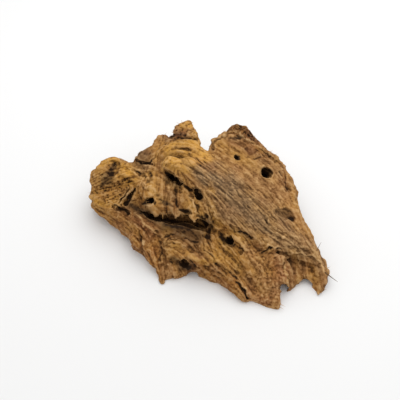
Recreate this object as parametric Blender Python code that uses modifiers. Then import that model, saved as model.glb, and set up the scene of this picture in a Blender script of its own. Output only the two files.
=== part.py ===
"""Ebony driftwood: one weathered root chunk for an aquarium, lying on its own feet.

The wood is modelled as it grew. Tapering strands of grain, plates and lobes are fused into one
form, ridges are laid over it, and water-worn hollows, grooves and borer holes are cut out. The
form is then fitted to its size, cut flat where it stands, and parted at its main forks, so that
each limb is a solid of its own.

Places are given as they are seen from the front: across and down in a square view of 400 units,
looking down at 50 degrees, with a height over the table in millimetres. The finished pieces are
in metres, +Z up, with the origin on the table under the middle of the chunk.
"""

import math

import bmesh
import bpy
from mathutils import Matrix, Vector, noise
from mathutils.bvhtree import BVHTree

MM = 0.001

# Driving dimensions of the whole chunk, in metres.
LENGTH = 0.1985
DEPTH = 0.155
HEIGHT = 0.062

# The view that places are given in: tilt, distance and aim in millimetres, and half width over distance.
VIEW_TILT = math.radians(50)
VIEW_DISTANCE = 453.5
VIEW_AIM = Vector((-6.5, 14.9, 30.0))
VIEW_SPREAD = 0.36
VIEW_MIDDLE = 200.0

# How finely the form is fused, how far it is softened, and how many triangles it may keep.
FORM_VOXEL = 1.5 * MM
CUTTER_VOXEL = 1.0 * MM
SLAB_ROUND = 3
LAY_STEPS = 3
SOFTEN_STEPS = 2
FORM_TRIANGLES = 8300

# Wear: how the grain is turned in plan, how long and how wide its waves are, and how deep.
GRAIN_TURN = math.radians(32)
WEAR_ALONG = 14 * MM
WEAR_ACROSS = 5 * MM
WEAR_DEPTH = 1.1 * MM
FORK_GAP = 0.3 * MM

# Where the middle of each limb lies in plan, in millimetres.
LIMB_PLACES = {
    "left_limb": (-80, 15),
    "crown_stub": (-15, 72),
    "right_limb": (50, 30),
    "trunk": (0, 0),
}

WOOD_ROUGHNESS = 0.85
LIMB_COLOURS = {
    "trunk": (0.36, 0.21, 0.09, 1.0),
    "left_limb": (0.32, 0.18, 0.07, 1.0),
    "crown_stub": (0.40, 0.23, 0.08, 1.0),
    "right_limb": (0.42, 0.26, 0.12, 1.0),
}

# Plates: outline as seen, the plane of the top as height and slopes along X and Y, and the thickness.
SLABS = {
    "wing": ([(209, 150), (210, 142), (213, 137), (220, 134), (226, 128), (232, 124), (238, 121), (248, 125),
              (255, 131), (262, 139), (269, 145), (278, 155), (288, 163), (287, 169), (293, 177), (298, 190),
              (297, 200), (303, 216), (315, 238), (327, 262), (329, 270), (322, 275), (300, 255), (250, 225),
              (205, 185)], (42, -0.29, 0.20), 12),
    "wing_face": ([(208, 150), (210, 143), (213, 137), (223, 132), (232, 131), (241, 134), (252, 142), (262, 145),
                   (271, 153), (282, 160), (286, 166), (290, 175), (295, 184), (297, 190), (296, 200), (302, 216),
                   (313, 238), (324, 262), (326, 270), (300, 253), (262, 240), (215, 215), (195, 180)],
                  (47, -0.29, 0.20), 10),
    "bed": ([(92, 199), (103, 208), (120, 219), (128, 228), (131, 239), (143, 248), (151, 259), (157, 273),
             (162, 280), (172, 275), (186, 269), (196, 268), (212, 275), (232, 286), (250, 297), (270, 305),
             (280, 306), (281, 283), (290, 283), (280, 255), (262, 235), (205, 190), (150, 190), (110, 185)],
            (29, 0.12, 0.44), 20),
    "scoop_floor": ([(281, 283), (291, 287), (297, 281), (305, 278), (312, 281), (319, 290), (326, 286), (326, 274),
                     (318, 258), (270, 240)], (16, 0.0, 0.20), 10),
    "crown_block": ([(171, 126), (179, 121), (187, 118), (191, 118), (196, 126), (200, 133), (202, 141), (199, 152),
                     (183, 152), (168, 144), (165, 134), (171, 130)], (57, 0.0, 0.0), 22),
    "west_stub": ([(131, 157), (137, 149), (143, 144), (149, 142), (157, 143), (160, 157), (151, 163), (140, 160)],
                  (49, 0.0, 0.0), 14),
}

# Strands of grain: each point as seen, the height of its top and its radius.
STRANDS = {
    "hump": [(190, 162, 62, 14), (208, 172, 60, 15), (230, 187, 53, 16), (254, 207, 43, 13),
             (278, 225, 34, 11), (302, 240, 27, 7), (313, 250, 21, 5), (320, 262, 15, 4), (322, 276, 9, 4)],
    "hump_side": [(250, 196, 46, 14), (272, 210, 36, 12), (290, 227, 27, 9), (305, 244, 19, 6)],
    "hump_edge": [(170, 158, 62, 6), (189, 168, 60, 7), (200, 180, 56, 8), (212, 188, 54, 9),
                  (221, 200, 49, 11), (236, 212, 43, 10), (256, 228, 34, 9), (270, 236, 30, 8)],
    "second_ridge": [(163, 150, 56, 7), (175, 144, 60, 8), (192, 147, 61, 8), (210, 160, 59, 8), (235, 178, 54, 8)],
    "shoulder": [(162, 137, 50, 8), (160, 150, 53, 11), (157, 165, 51, 12), (156, 180, 46, 11)],
    "crown_side": [(165, 147, 52, 9), (161, 137, 51, 7)],
    "skirt": [(150, 184, 44, 9), (163, 187, 44, 10), (178, 190, 44, 10), (195, 194, 45, 10), (207, 202, 44, 8)],
    "skirt_1": [(153, 178, 49, 8), (153, 190, 45, 8), (154, 201, 40, 6)],
    "skirt_2": [(163, 184, 48, 7), (163, 193, 45, 7), (163, 202, 40, 6)],
    "skirt_3": [(173, 188, 47, 7), (173, 195, 45, 7), (173, 202, 40, 6)],
    "skirt_4": [(184, 191, 47, 6), (184, 197, 45, 6), (184, 200, 41, 6)],
    "skirt_5": [(193, 199, 46, 6), (194, 202, 42, 6)],
    "skirt_6": [(203, 200, 46, 6), (206, 208, 42, 5)],
    "limb": [(152, 180, 40, 14), (134, 176, 38, 15), (115, 177, 35, 15), (103, 179, 31, 12)],
    "limb_top": [(126, 165, 41, 7), (112, 160, 42, 9), (103, 166, 39, 9)],
    "limb_low": [(118, 190, 31, 8), (104, 191, 28, 8), (97, 190, 26, 7)],
    "limb_ridge": [(120, 169, 41, 4), (131, 173, 42, 4), (143, 180, 42, 4)],
    "west_arm": [(99, 196, 18, 8), (115, 206, 18, 9), (134, 218, 22, 11), (156, 228, 24, 12)],
    "foot": [(150, 222, 26, 9), (151, 240, 21, 9), (154, 258, 13, 8), (159, 272, 7, 5.5), (161, 280, 4, 3)],
    "foot_right": [(172, 235, 26, 12), (182, 248, 22, 9), (196, 256, 20, 8)],
    "middle": [(205, 225, 30, 9), (206, 238, 28, 10), (217, 254, 23, 9), (231, 272, 15, 8), (246, 290, 9, 6)],
    "right": [(236, 236, 30, 7), (252, 256, 24, 9), (266, 278, 15, 10)],
    "prong": [(256, 262, 22, 10), (266, 279, 14, 10), (271, 291, 9, 7), (275, 300, 5.5, 5)],
    "rib": [(282, 258, 22, 5), (287, 270, 14, 5), (290, 281, 8, 4)],
    "right_leg": [(322, 268, 14, 6), (322, 279, 9, 5), (321, 287, 5, 4)],
    "splinter": [(321, 269, 13, 3), (328, 275, 12, 2), (335, 280, 10, 1.5)],
}

# Lobes of solid wood inside: centre and radii in millimetres.
LOBES = {
    "belly": ((-5, 12, 18), (66, 40, 18)),
    "back": ((-2, 36, 22), (46, 22, 22)),
    "right_mass": ((53, -17, 10), (30, 15, 12)),
}

# The shallow hollow worn into the underside: centre and radii in millimetres.
UNDERSIDE = ((-2, 3, -1.5), (54, 30, 5))

# Undercut hollows: each point as seen, the height of its centre and its radius.
HOLLOWS = {
    "lip": [(127, 210, 25, 2), (137, 214, 27, 4), (150, 219, 28, 5.5), (162, 221, 29, 6.5), (173, 222, 29, 7),
            (185, 223, 30, 7), (197, 226, 30, 7), (208, 229, 30, 6.5), (218, 232, 29, 5), (229, 237, 27, 2.5)],
    "lip_back": [(140, 212, 25, 3), (152, 215, 26, 4.5), (165, 216, 26, 5.5), (178, 217, 26, 5.5),
                 (190, 217, 27, 5.5), (203, 222, 27, 5)],
    "knob": [(170, 174, 50, 4), (177, 179, 49, 4.5), (185, 185, 48, 3)],
    "drop": [(198, 192, 48, 4.5), (199, 199, 40, 4)],
    "saddle": [(149, 202, 36, 4.5), (147, 198, 34, 4)],
    "scoop": [(295, 266, 14, 4), (303, 265, 15, 7.5), (312, 270, 13, 7), (317, 278, 9, 4)],
    "scoop_back": [(293, 261, 14, 4.5), (303, 260, 14, 6), (312, 264, 12, 5)],
    "right_arch": [(306, 286, 0, 5), (303, 274, -2, 6)],
    "front_arch": [(193, 274, 0, 5), (198, 262, -2, 6)],
}

# Holes bored into the surface: place as seen, radius and depth.
HOLES = {
    "wing_hole": (266, 172, 5.2, 10),
    "wing_pin": (236, 157, 2.0, 9),
    "bed_hole": (228, 240, 4.2, 11),
    "foot_hole": (185, 264, 4.8, 10),
}

# Grooves worn into the surface: depth, then each point as seen with its width.
GROOVES = {
    "wing_dish": (3.2, [(279, 212, 7), (286, 215, 9), (292, 219, 6)]),
    "bed_dish": (3.5, [(221, 235, 10), (230, 242, 15), (238, 250, 9)]),
    "hump_split": (2.4, [(236, 186, 3), (244, 195, 5), (252, 203, 3)]),
    "hump_split_low": (2.2, [(257, 206, 4.5), (263, 216, 5.5), (270, 227, 4.5)]),
    "ridge_gap": (2.8, [(168, 150, 4), (178, 149, 6), (190, 150, 5), (200, 157, 4)]),
    "ridge_slit": (2.4, [(196, 158, 4), (203, 166, 5), (211, 168, 4)]),
    "crown_foot": (3.0, [(176, 138, 5), (188, 139, 6), (199, 139, 6)]),
    "limb_crack": (5.0, [(135, 188, 4), (129, 195, 8), (122, 204, 9)]),
    "limb_cup": (4.5, [(115, 170, 8), (108, 180, 12)]),
    "limb_step": (3.0, [(96, 189, 5), (91, 193, 6)]),
    "limb_slit": (2.6, [(114, 206, 4), (121, 209, 5), (129, 215, 4)]),
    "shoulder_crack": (2.6, [(137, 161, 4), (145, 164, 4), (151, 162, 4), (154, 167, 4)]),
    "limb_shelf": (2.4, [(133, 172, 4), (139, 176, 5), (145, 180, 4)]),
    "limb_grain": (2.4, [(97, 190, 4), (108, 188, 5), (120, 184, 5), (131, 183, 4)]),
    "rim_groove": (3.0, [(226, 225, 4), (240, 231, 6), (254, 239, 4)]),
    "front_crack": (2.8, [(192, 261, 4), (212, 266, 5), (232, 274, 5), (241, 286, 5), (249, 299, 4)]),
    "foot_groove": (2.4, [(158, 233, 5), (161, 245, 5.5), (159, 262, 5)]),
    "plate_groove": (2.0, [(206, 226, 4), (209, 245, 5), (222, 262, 5), (238, 274, 4)]),
    "hook_groove": (2.2, [(180, 160, 4), (194, 167, 5), (208, 180, 5), (222, 194, 4)]),
    "wing_groove": (2.2, [(281, 172, 4), (286, 182, 5), (290, 190, 4)]),
    "flute_1": (2.6, [(158, 188, 4), (158, 202, 5), (157, 214, 5)]),
    "flute_2": (2.6, [(168, 188, 4), (168, 202, 5), (168, 214, 5)]),
    "flute_3": (2.6, [(179, 190, 4), (178, 202, 5), (178, 214, 5)]),
    "flute_4": (2.6, [(187, 190, 4), (189, 202, 5), (190, 214, 5)]),
    "flute_5": (2.6, [(196, 202, 4), (199, 209, 5), (202, 216, 5)]),
    "foot_face": (2.4, [(141, 238, 4), (146, 248, 5), (151, 262, 5), (157, 276, 4)]),
    "scoop_corner": (3.0, [(288, 262, 6), (291, 270, 6), (293, 276, 5)]),
}

# Ridges of grain over the surface: height, then each point as seen with its width.
RIDGES = {
    "bed_ridge": (2.6, [(137, 215, 4), (148, 223, 7), (165, 229, 8), (178, 236, 8), (190, 247, 7)]),
    "dish_ridge": (2.2, [(233, 231, 5), (242, 241, 6), (249, 252, 5)]),
    "wing_rim": (2.0, [(226, 132, 5), (240, 136, 6), (252, 143, 6), (264, 148, 6), (280, 160, 5)]),
    "limb_sliver": (2.2, [(132, 187, 4), (126, 193, 5), (117, 201, 4)]),
    "foot_lump": (2.6, [(134, 236, 7), (136, 243, 9), (140, 248, 7)]),
    "foot_fan": (2.2, [(164, 243, 5), (174, 240, 7), (184, 245, 6)]),
    "crumb_ledge": (2.4, [(190, 257, 5), (200, 258, 7), (208, 263, 5)]),
}

# Lines in plan where the limbs fork from the trunk, in millimetres from the aim of the view.
FORKS = {
    "left_limb": [(-58, 90), (-57, 47), (-53, 36), (-55, 26), (-62, 16), (-64, 5), (-60, -8), (-66, -40)],
    "crown_stub": [(-40, 100), (-36, 68), (-27, 61), (-12, 61), (-1, 64), (-1, 100)],
    "right_limb": [(4, 100), (2, 50), (7, 41), (22, 29), (38, 17), (52, 5), (68, -7), (84, -17), (120, -24)],
}


def sight(across, down):
    """The direction from the eye through a place in the view."""
    side = (across - VIEW_MIDDLE) / VIEW_MIDDLE * VIEW_SPREAD
    rise = (VIEW_MIDDLE - down) / VIEW_MIDDLE * VIEW_SPREAD
    forward = Vector((side, math.cos(VIEW_TILT), -math.sin(VIEW_TILT)))
    return forward + Vector((0, math.sin(VIEW_TILT), math.cos(VIEW_TILT))) * rise


def eye():
    return VIEW_AIM - Vector((0, math.cos(VIEW_TILT), -math.sin(VIEW_TILT))) * VIEW_DISTANCE


def seen(across, down, height):
    """The point in millimetres that is seen at a place in the view and lies at a height."""
    ray = sight(across, down)
    start = eye()
    return start + ray * ((height - start.z) / ray.z)


def seen_on_plane(across, down, plane):
    """The point in millimetres that is seen at a place in the view and lies on a sloping plane."""
    height, slope_x, slope_y = plane
    ray = sight(across, down)
    start = eye()
    reach = (height + slope_x * start.x + slope_y * start.y - start.z)
    return start + ray * (reach / (ray.z - slope_x * ray.x - slope_y * ray.y))


def empty_collection(name):
    collection = bpy.data.collections.new(name)
    bpy.context.scene.collection.children.link(collection)
    return collection


def mesh_from(source, name):
    """The evaluated shape of an object as a welded mesh object, in place of that object."""
    bpy.context.view_layer.update()
    graph = bpy.context.evaluated_depsgraph_get()
    mesh = bpy.data.meshes.new_from_object(source.evaluated_get(graph))
    made = bpy.data.objects.new(name, mesh)
    made.matrix_world = source.matrix_world
    bpy.context.scene.collection.objects.link(made)
    bpy.data.objects.remove(source)
    shape = bmesh.new()
    shape.from_mesh(mesh)
    bmesh.ops.remove_doubles(shape, verts=shape.verts, dist=0.01 * MM)
    shape.to_mesh(mesh)
    shape.free()
    return made


def tubes(name, paths):
    """Smooth tapering tubes with round ends, one along each path of (point, radius) in millimetres."""
    curve = bpy.data.curves.new(name, "CURVE")
    curve.dimensions = "3D"
    curve.bevel_depth = MM
    curve.bevel_resolution = 4
    curve.resolution_u = 8
    curve.use_fill_caps = True
    for path in paths:
        spline = curve.splines.new("BEZIER")
        spline.bezier_points.add(len(path) - 1)
        for knot, (point, radius) in zip(spline.bezier_points, path):
            knot.co = point * MM
            knot.radius = radius
            knot.handle_left_type = knot.handle_right_type = "AUTO"
    made = bpy.data.objects.new(name, curve)
    bpy.context.scene.collection.objects.link(made)
    ends = [ball(point, (radius, radius, radius)) for path in paths for point, radius in (path[0], path[-1])]
    return [mesh_from(made, name)] + ends


def ball(centre, radii):
    """An ellipsoid, with its centre and radii in millimetres."""
    bpy.ops.mesh.primitive_ico_sphere_add(subdivisions=3, radius=1.0)
    made = bpy.context.object
    made.location = Vector(centre) * MM
    made.scale = Vector(radii) * MM
    return made


def slab(name, outline, plane, thickness):
    """A plate with rounded edges, sheared so that its top lies in a sloping plane."""
    height, slope_x, slope_y = plane
    curve = bpy.data.curves.new(name, "CURVE")
    curve.dimensions = "2D"
    curve.fill_mode = "BOTH"
    curve.extrude = (thickness / 2 - SLAB_ROUND) * MM
    curve.bevel_depth = SLAB_ROUND * MM
    curve.bevel_resolution = 2
    curve.offset = -SLAB_ROUND * MM
    spline = curve.splines.new("POLY")
    spline.points.add(len(outline) - 1)
    for knot, place in zip(spline.points, outline):
        point = seen_on_plane(*place, plane) * MM
        knot.co = (point.x, point.y, 0.0, 1.0)
    spline.use_cyclic_u = True
    made = bpy.data.objects.new(name, curve)
    bpy.context.scene.collection.objects.link(made)
    plate = mesh_from(made, name)
    plate.data.transform(Matrix((
        (1, 0, 0, 0),
        (0, 1, 0, 0),
        (slope_x, slope_y, 1, (height - thickness / 2) * MM),
        (0, 0, 0, 1),
    )))
    return plate


def joined(objects):
    bpy.ops.object.select_all(action="DESELECT")
    for piece in objects:
        piece.select_set(True)
    bpy.context.view_layer.objects.active = objects[0]
    bpy.ops.object.join()
    return bpy.context.object


def melted(name, objects, voxel):
    """Overlapping solids fused into one closed skin."""
    whole = joined(objects)
    melt = whole.modifiers.new("melt", "REMESH")
    melt.mode = "VOXEL"
    melt.voxel_size = voxel
    return mesh_from(whole, name)


def surface(form):
    bpy.context.view_layer.update()
    return BVHTree.FromObject(form, bpy.context.evaluated_depsgraph_get())


def touched(skin, across, down):
    """The point in millimetres where a line of sight meets the form, and the way that spot faces."""
    point, normal = skin.ray_cast(eye() * MM, sight(across, down).normalized())[:2]
    return (point / MM, normal) if point else None


def laid(skin, amount, places, side):
    """A path for a tube that stands out of the form, or sinks into it, by an amount at each place."""
    path = []
    for start, end in zip(places, places[1:]):
        for step in range(LAY_STEPS + (end is places[-1])):
            across, down, width = Vector(start).lerp(Vector(end), step / LAY_STEPS)
            spot = touched(skin, across, down)
            if spot is None:
                continue
            point, normal = spot
            radius = (width * width / 4 + amount * amount) / (2 * amount)
            path.append((point + normal * side * (amount - radius), radius))
    return path


def bored(skin, across, down, radius, depth):
    point, normal = touched(skin, across, down)
    return [(point + normal * radius, radius), (point - normal * depth, radius * 0.8)]


def place_strand(strand):
    return [(seen(across, down, top) - Vector((0, 0, radius)), radius) for across, down, top, radius in strand]


def shape_form():
    """The whole chunk before it is parted: plates, strands and lobes, then ridges, then hollows."""
    solids = tubes("strands", [place_strand(strand) for strand in STRANDS.values()])
    solids += [slab(name, *plate) for name, plate in SLABS.items()]
    solids += [ball(*lobe) for lobe in LOBES.values()]
    body = melted("body", solids, FORM_VOXEL)
    skin = surface(body)
    ridges = tubes("ridges", [laid(skin, *ridge, 1) for ridge in RIDGES.values()])
    worn = [laid(skin, *groove, -1) for groove in GROOVES.values()]
    worn += [bored(skin, *hole) for hole in HOLES.values()]
    worn += [[(seen(across, down, height), radius) for across, down, height, radius in hollow]
             for hollow in HOLLOWS.values()]
    body = melted("body", [body] + ridges, FORM_VOXEL)
    cutter = melted("hollows", tubes("worn", worn) + [ball(*UNDERSIDE)], CUTTER_VOXEL)
    return body, cutter


def roughened(body):
    """Uneven wear over the whole skin, drawn out along the grain."""
    grain = Matrix.Rotation(GRAIN_TURN, 3, "Z")
    stretch = Matrix.Diagonal((1 / WEAR_ALONG, 1 / WEAR_ACROSS, 1 / WEAR_ACROSS))
    lattice = stretch @ grain
    moves = []
    for vertex in body.data.vertices:
        spot = lattice @ vertex.co
        moves.append(vertex.normal * (noise.noise(spot) + 0.5 * noise.noise(spot * 2.1)) * WEAR_DEPTH)
    for vertex, move in zip(body.data.vertices, moves):
        vertex.co += move


def modified(target, name, kind, **settings):
    modifier = target.modifiers.new(name, kind)
    for key, value in settings.items():
        setattr(modifier, key, value)
    return modifier


def keep_as_guide(made, guides):
    for collection in list(made.users_collection):
        collection.objects.unlink(made)
    guides.objects.link(made)
    made.hide_render = True
    made.display_type = "WIRE"


def ground_block():
    """A block that fills everything under the table."""
    bpy.ops.mesh.primitive_cube_add(size=1.0)
    made = bpy.context.object
    made.name = "ground_block"
    made.scale = (0.4, 0.4, 0.1)
    made.location = (0, 0, -0.05)
    return made


def fork_sheet(name, line):
    """An upright sheet, as thick as the gap, along the line in plan where a limb forks off."""
    curve = bpy.data.curves.new(name, "CURVE")
    curve.dimensions = "3D"
    curve.extrude = 0.15
    spline = curve.splines.new("POLY")
    spline.points.add(len(line) - 1)
    for knot, (x, y) in zip(spline.points, line):
        knot.co = (x * MM, y * MM, 0.0, 1.0)
    made = bpy.data.objects.new(name, curve)
    bpy.context.scene.collection.objects.link(made)
    sheet = mesh_from(made, name)
    modified(sheet, "thicken", "SOLIDIFY", thickness=FORK_GAP, offset=0.0, use_even_offset=True)
    return mesh_from(sheet, name)


def parted(body, sheets):
    """The body cut along the sheets, as separate pieces named after the limb each one is."""
    for sheet in sheets:
        modified(body, sheet.name, "BOOLEAN", operation="DIFFERENCE", object=sheet, solver="EXACT")
    body = mesh_from(body, "body")
    bpy.ops.object.select_all(action="DESELECT")
    body.select_set(True)
    bpy.context.view_layer.objects.active = body
    bpy.ops.mesh.separate(type="LOOSE")
    pieces = list(bpy.context.selected_objects)
    for limb, (x, y) in LIMB_PLACES.items():
        target = Vector((x, y)) * MM
        nearest = min(pieces, key=lambda piece: (plan_middle(piece) - target).length)
        nearest.name = limb
        nearest.data.name = limb
    return pieces


def plan_middle(piece):
    corners = [piece.matrix_world @ Vector(corner) for corner in piece.bound_box]
    return (corners[0].xy + corners[6].xy) / 2


def fit_to_size(body):
    """The matrix that scales the body to its driving dimensions and centres it over the origin."""
    spans = [[vertex.co[axis] for vertex in body.data.vertices] for axis in range(3)]
    low = Vector([min(span) for span in spans])
    high = Vector([max(span) for span in spans])
    scale = Vector((LENGTH / (high.x - low.x), DEPTH / (high.y - low.y), HEIGHT / high.z))
    middle = Vector(((low.x + high.x) / 2, (low.y + high.y) / 2, 0.0))
    return Matrix.Diagonal((*scale, 1.0)) @ Matrix.Translation(-middle)


def finish(piece, wood):
    for collection in list(piece.users_collection):
        collection.objects.unlink(piece)
    wood.objects.link(piece)
    material = bpy.data.materials.new(piece.name + "_wood")
    material.use_nodes = True
    shader = material.node_tree.nodes["Principled BSDF"]
    shader.inputs["Base Color"].default_value = LIMB_COLOURS[piece.name]
    shader.inputs["Roughness"].default_value = WOOD_ROUGHNESS
    shader.inputs["Metallic"].default_value = 0.0
    piece.data.materials.clear()
    piece.data.materials.append(material)
    piece.data.shade_smooth()
    piece.data.set_sharp_from_angle(angle=math.radians(60))


def build():
    for old in list(bpy.data.objects):
        bpy.data.objects.remove(old)
    wood = empty_collection("ebony_driftwood")
    guides = empty_collection("cutters")
    body, cutter = shape_form()
    modified(body, "hollow", "BOOLEAN", operation="DIFFERENCE", object=cutter, solver="EXACT")
    modified(body, "remelt", "REMESH", mode="VOXEL", voxel_size=FORM_VOXEL * 0.8)
    modified(body, "soften", "SMOOTH", factor=0.5, iterations=SOFTEN_STEPS)
    body = mesh_from(body, "body")
    roughened(body)
    triangles = 2 * len(body.data.polygons)
    modified(body, "thin_out", "DECIMATE", ratio=FORM_TRIANGLES / triangles, use_collapse_triangulate=True)
    ground = ground_block()
    modified(body, "stand", "BOOLEAN", operation="DIFFERENCE", object=ground, solver="EXACT")
    body = mesh_from(body, "body")
    sheets = [fork_sheet(name + "_fork", line) for name, line in FORKS.items()]
    fit = fit_to_size(body)
    body.data.transform(fit)
    for sheet in sheets:
        sheet.matrix_world = fit
    for piece in parted(body, sheets):
        finish(piece, wood)
    for guide in [cutter, ground] + sheets:
        keep_as_guide(guide, guides)


build()
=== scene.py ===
"""The dressed ebony driftwood: one weathered root chunk, fused from strands of grain and worn by water.

Places are given as they are seen from the front, across and down in a square view of 400 units,
with a height over the table in millimetres. The wood is shaped in millimetres and then fitted to
the frame, in metres.
"""

import logging
import math
from collections.abc import Callable
from dataclasses import dataclass, field
from enum import Enum
from functools import partial

import bpy
import numpy as np
from mathutils import Matrix, Vector, noise
from mathutils.bvhtree import BVHTree


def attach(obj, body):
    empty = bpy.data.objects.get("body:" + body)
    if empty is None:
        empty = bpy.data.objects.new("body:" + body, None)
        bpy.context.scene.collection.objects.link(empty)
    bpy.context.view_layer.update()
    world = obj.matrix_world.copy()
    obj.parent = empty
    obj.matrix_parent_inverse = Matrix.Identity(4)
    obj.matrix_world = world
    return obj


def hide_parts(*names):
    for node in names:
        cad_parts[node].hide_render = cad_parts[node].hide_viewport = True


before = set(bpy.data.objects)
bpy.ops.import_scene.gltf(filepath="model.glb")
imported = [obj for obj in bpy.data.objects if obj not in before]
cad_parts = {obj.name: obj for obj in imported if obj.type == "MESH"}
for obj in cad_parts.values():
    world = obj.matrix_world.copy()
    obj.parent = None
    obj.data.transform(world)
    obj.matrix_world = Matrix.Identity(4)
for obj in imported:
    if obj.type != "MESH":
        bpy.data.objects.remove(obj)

log = logging.getLogger("driftwood")

Place = tuple[float, float]
Triple = tuple[float, float, float]
Stroke = tuple[float, list[Triple]]
Course = list[tuple[float, float, float, float]]
Track = list[tuple[Vector, float]]
Piece = bpy.types.Object
Socket = bpy.types.NodeSocket

MM = 0.001
GRAIN_TURN = math.radians(32)
GROWTH = (0.85, -0.53, 0.0)
BREAKAGE = (0.06, 0.10, 0.16)


class Limb(Enum):
    """The solids of the frame, each with the middle of its place in plan, in millimetres."""

    LEFT = ("left_limb", (-78.0, 8.0))
    CROWN = ("crown_stub", (-14.0, 64.0))
    RIGHT = ("right_limb", (50.0, 24.0))
    TRUNK = ("trunk", (4.0, -10.0))

    @property
    def node(self) -> str:
        """The name of the solid in the frame."""
        return self.value[0]

    @property
    def middle(self) -> Vector:
        """Its middle in plan, in millimetres."""
        return Vector(self.value[1])


@dataclass(frozen=True)
class ReferenceView:
    """The view that places are given in: its tilt, distance and aim in millimetres."""

    tilt: float = math.radians(50)
    distance: float = 453.5
    aim: Triple = (-6.5, 14.9, 30.0)
    spread: float = 0.36
    middle: float = 200.0

    @property
    def forward(self) -> Vector:
        """The way the view looks."""
        return Vector((0.0, math.cos(self.tilt), -math.sin(self.tilt)))

    @property
    def upward(self) -> Vector:
        """The way up in the view."""
        return Vector((0.0, math.sin(self.tilt), math.cos(self.tilt)))

    @property
    def eye(self) -> Vector:
        """Where the view is taken from."""
        return Vector(self.aim) - self.forward * self.distance

    def sight(self, across: float, down: float) -> Vector:
        """The direction from the eye through a place in the view.

        Args:
            across: Place across the view.
            down: Place down the view.

        Returns:
            The direction, not normalised.
        """
        side = (across - self.middle) / self.middle * self.spread
        rise = (self.middle - down) / self.middle * self.spread
        return self.forward + self.upward * rise + Vector((side, 0.0, 0.0))

    def seen(self, across: float, down: float, height: float) -> Vector:
        """The point that is seen at a place and lies at a height.

        Args:
            across: Place across the view.
            down: Place down the view.
            height: Height over the table.

        Returns:
            The point in millimetres.
        """
        return self.seen_on_plane(across, down, (height, 0.0, 0.0))

    def seen_on_plane(self, across: float, down: float, plane: Triple) -> Vector:
        """The point that is seen at a place and lies on a sloping plane.

        Args:
            across: Place across the view.
            down: Place down the view.
            plane: Height of the plane over the aim's foot, and its slopes along X and Y.

        Returns:
            The point in millimetres.
        """
        height, slope_x, slope_y = plane
        ray = self.sight(across, down)
        start = self.eye
        reach = height + slope_x * start.x + slope_y * start.y - start.z
        return start + ray * (reach / (ray.z - slope_x * ray.x - slope_y * ray.y))

    def touched(self, skin: BVHTree, across: float, down: float) -> tuple[Vector, Vector] | None:
        """Where a line of sight meets a skin, and the way that spot faces, or None past its edge."""
        point, normal = skin.ray_cast(self.eye, self.sight(across, down).normalized())[:2]
        return (point, normal) if point else None

    def toward(self, points: np.ndarray) -> np.ndarray:
        """The way from each point to the eye."""
        ways = np.array(self.eye) - points
        return ways / np.linalg.norm(ways, axis=1)[:, None]

    def project(self, points: np.ndarray) -> np.ndarray:
        """Where points show in the view.

        Args:
            points: Points in millimetres, one a row.

        Returns:
            The places, across and down, one a row.
        """
        offset = points - np.array(self.eye)
        depth = offset @ np.array(self.forward)
        rise = offset @ np.array(self.upward) / depth
        side = offset[:, 0] / depth
        scale = self.middle / self.spread
        return np.stack([self.middle + side * scale, self.middle - rise * scale], axis=1)


VIEW = ReferenceView()


def select_only(*objects: Piece) -> None:
    """Selects these objects alone, and makes the first one active."""
    bpy.ops.object.select_all(action="DESELECT")
    for piece in objects:
        piece.select_set(True)
    bpy.context.view_layer.objects.active = objects[0]


def applied(piece: Piece, kind: str, **settings: object) -> Piece:
    """Adds a modifier to an object and applies it.

    Args:
        piece: The object.
        kind: The kind of modifier.
        settings: Its settings.

    Returns:
        The same object.
    """
    select_only(piece)
    modifier = piece.modifiers.new(kind.lower(), kind)
    for key, value in settings.items():
        setattr(modifier, key, value)
    bpy.ops.object.modifier_apply(modifier=modifier.name)
    return piece


def joined(objects: list[Piece]) -> Piece:
    """Joins objects into the first of them."""
    select_only(*objects)
    bpy.ops.object.join()
    return bpy.context.object


def edited(piece: Piece, *operators: Callable) -> None:
    """Runs mesh operators on all of a piece, one after another, in edit mode.

    Args:
        piece: The piece.
        operators: The operators, with their settings.
    """
    select_only(piece)
    bpy.ops.object.mode_set(mode="EDIT")
    for operator in operators:
        bpy.ops.mesh.select_all(action="SELECT")
        operator()
    bpy.ops.object.mode_set(mode="OBJECT")


def meshed(name: str, curve: bpy.types.Curve) -> Piece:
    """An object made of a curve, as a mesh.

    Args:
        name: Its name.
        curve: The curve.

    Returns:
        The new object, selected alone.
    """
    made = bpy.data.objects.new(name, curve)
    bpy.context.scene.collection.objects.link(made)
    select_only(made)
    bpy.ops.object.convert(target="MESH")
    return made


def skin_of(piece: Piece) -> BVHTree:
    """A tree of a piece's faces, to look up spots on it."""
    bpy.context.view_layer.update()
    return BVHTree.FromObject(piece, bpy.context.evaluated_depsgraph_get())


def ball(centre: Vector, radii: Triple) -> Piece:
    """An ellipsoid.

    Args:
        centre: Its centre.
        radii: Its radii along X, Y and Z.

    Returns:
        The new object, with its place in its mesh.
    """
    bpy.ops.object.select_all(action="DESELECT")
    bpy.ops.mesh.primitive_ico_sphere_add(subdivisions=3, radius=1.0, location=centre, scale=radii)
    bpy.ops.object.transform_apply(location=True, rotation=True, scale=True)
    return bpy.context.object


def points_of(piece: Piece) -> np.ndarray:
    """The points of a mesh, one a row."""
    values = np.empty(len(piece.data.vertices) * 3, dtype=np.float32)
    piece.data.vertices.foreach_get("co", values)
    return values.reshape(-1, 3).astype(np.float64)


def normals_of(piece: Piece) -> np.ndarray:
    """The way each point of a mesh faces, one a row."""
    values = np.empty(len(piece.data.vertices) * 3, dtype=np.float32)
    piece.data.vertex_normals.foreach_get("vector", values)
    return values.reshape(-1, 3).astype(np.float64)


def move_points(piece: Piece, points: np.ndarray) -> None:
    """Puts the points of a mesh in new places."""
    piece.data.vertices.foreach_set("co", points.astype(np.float32).ravel())
    piece.data.update()


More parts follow.
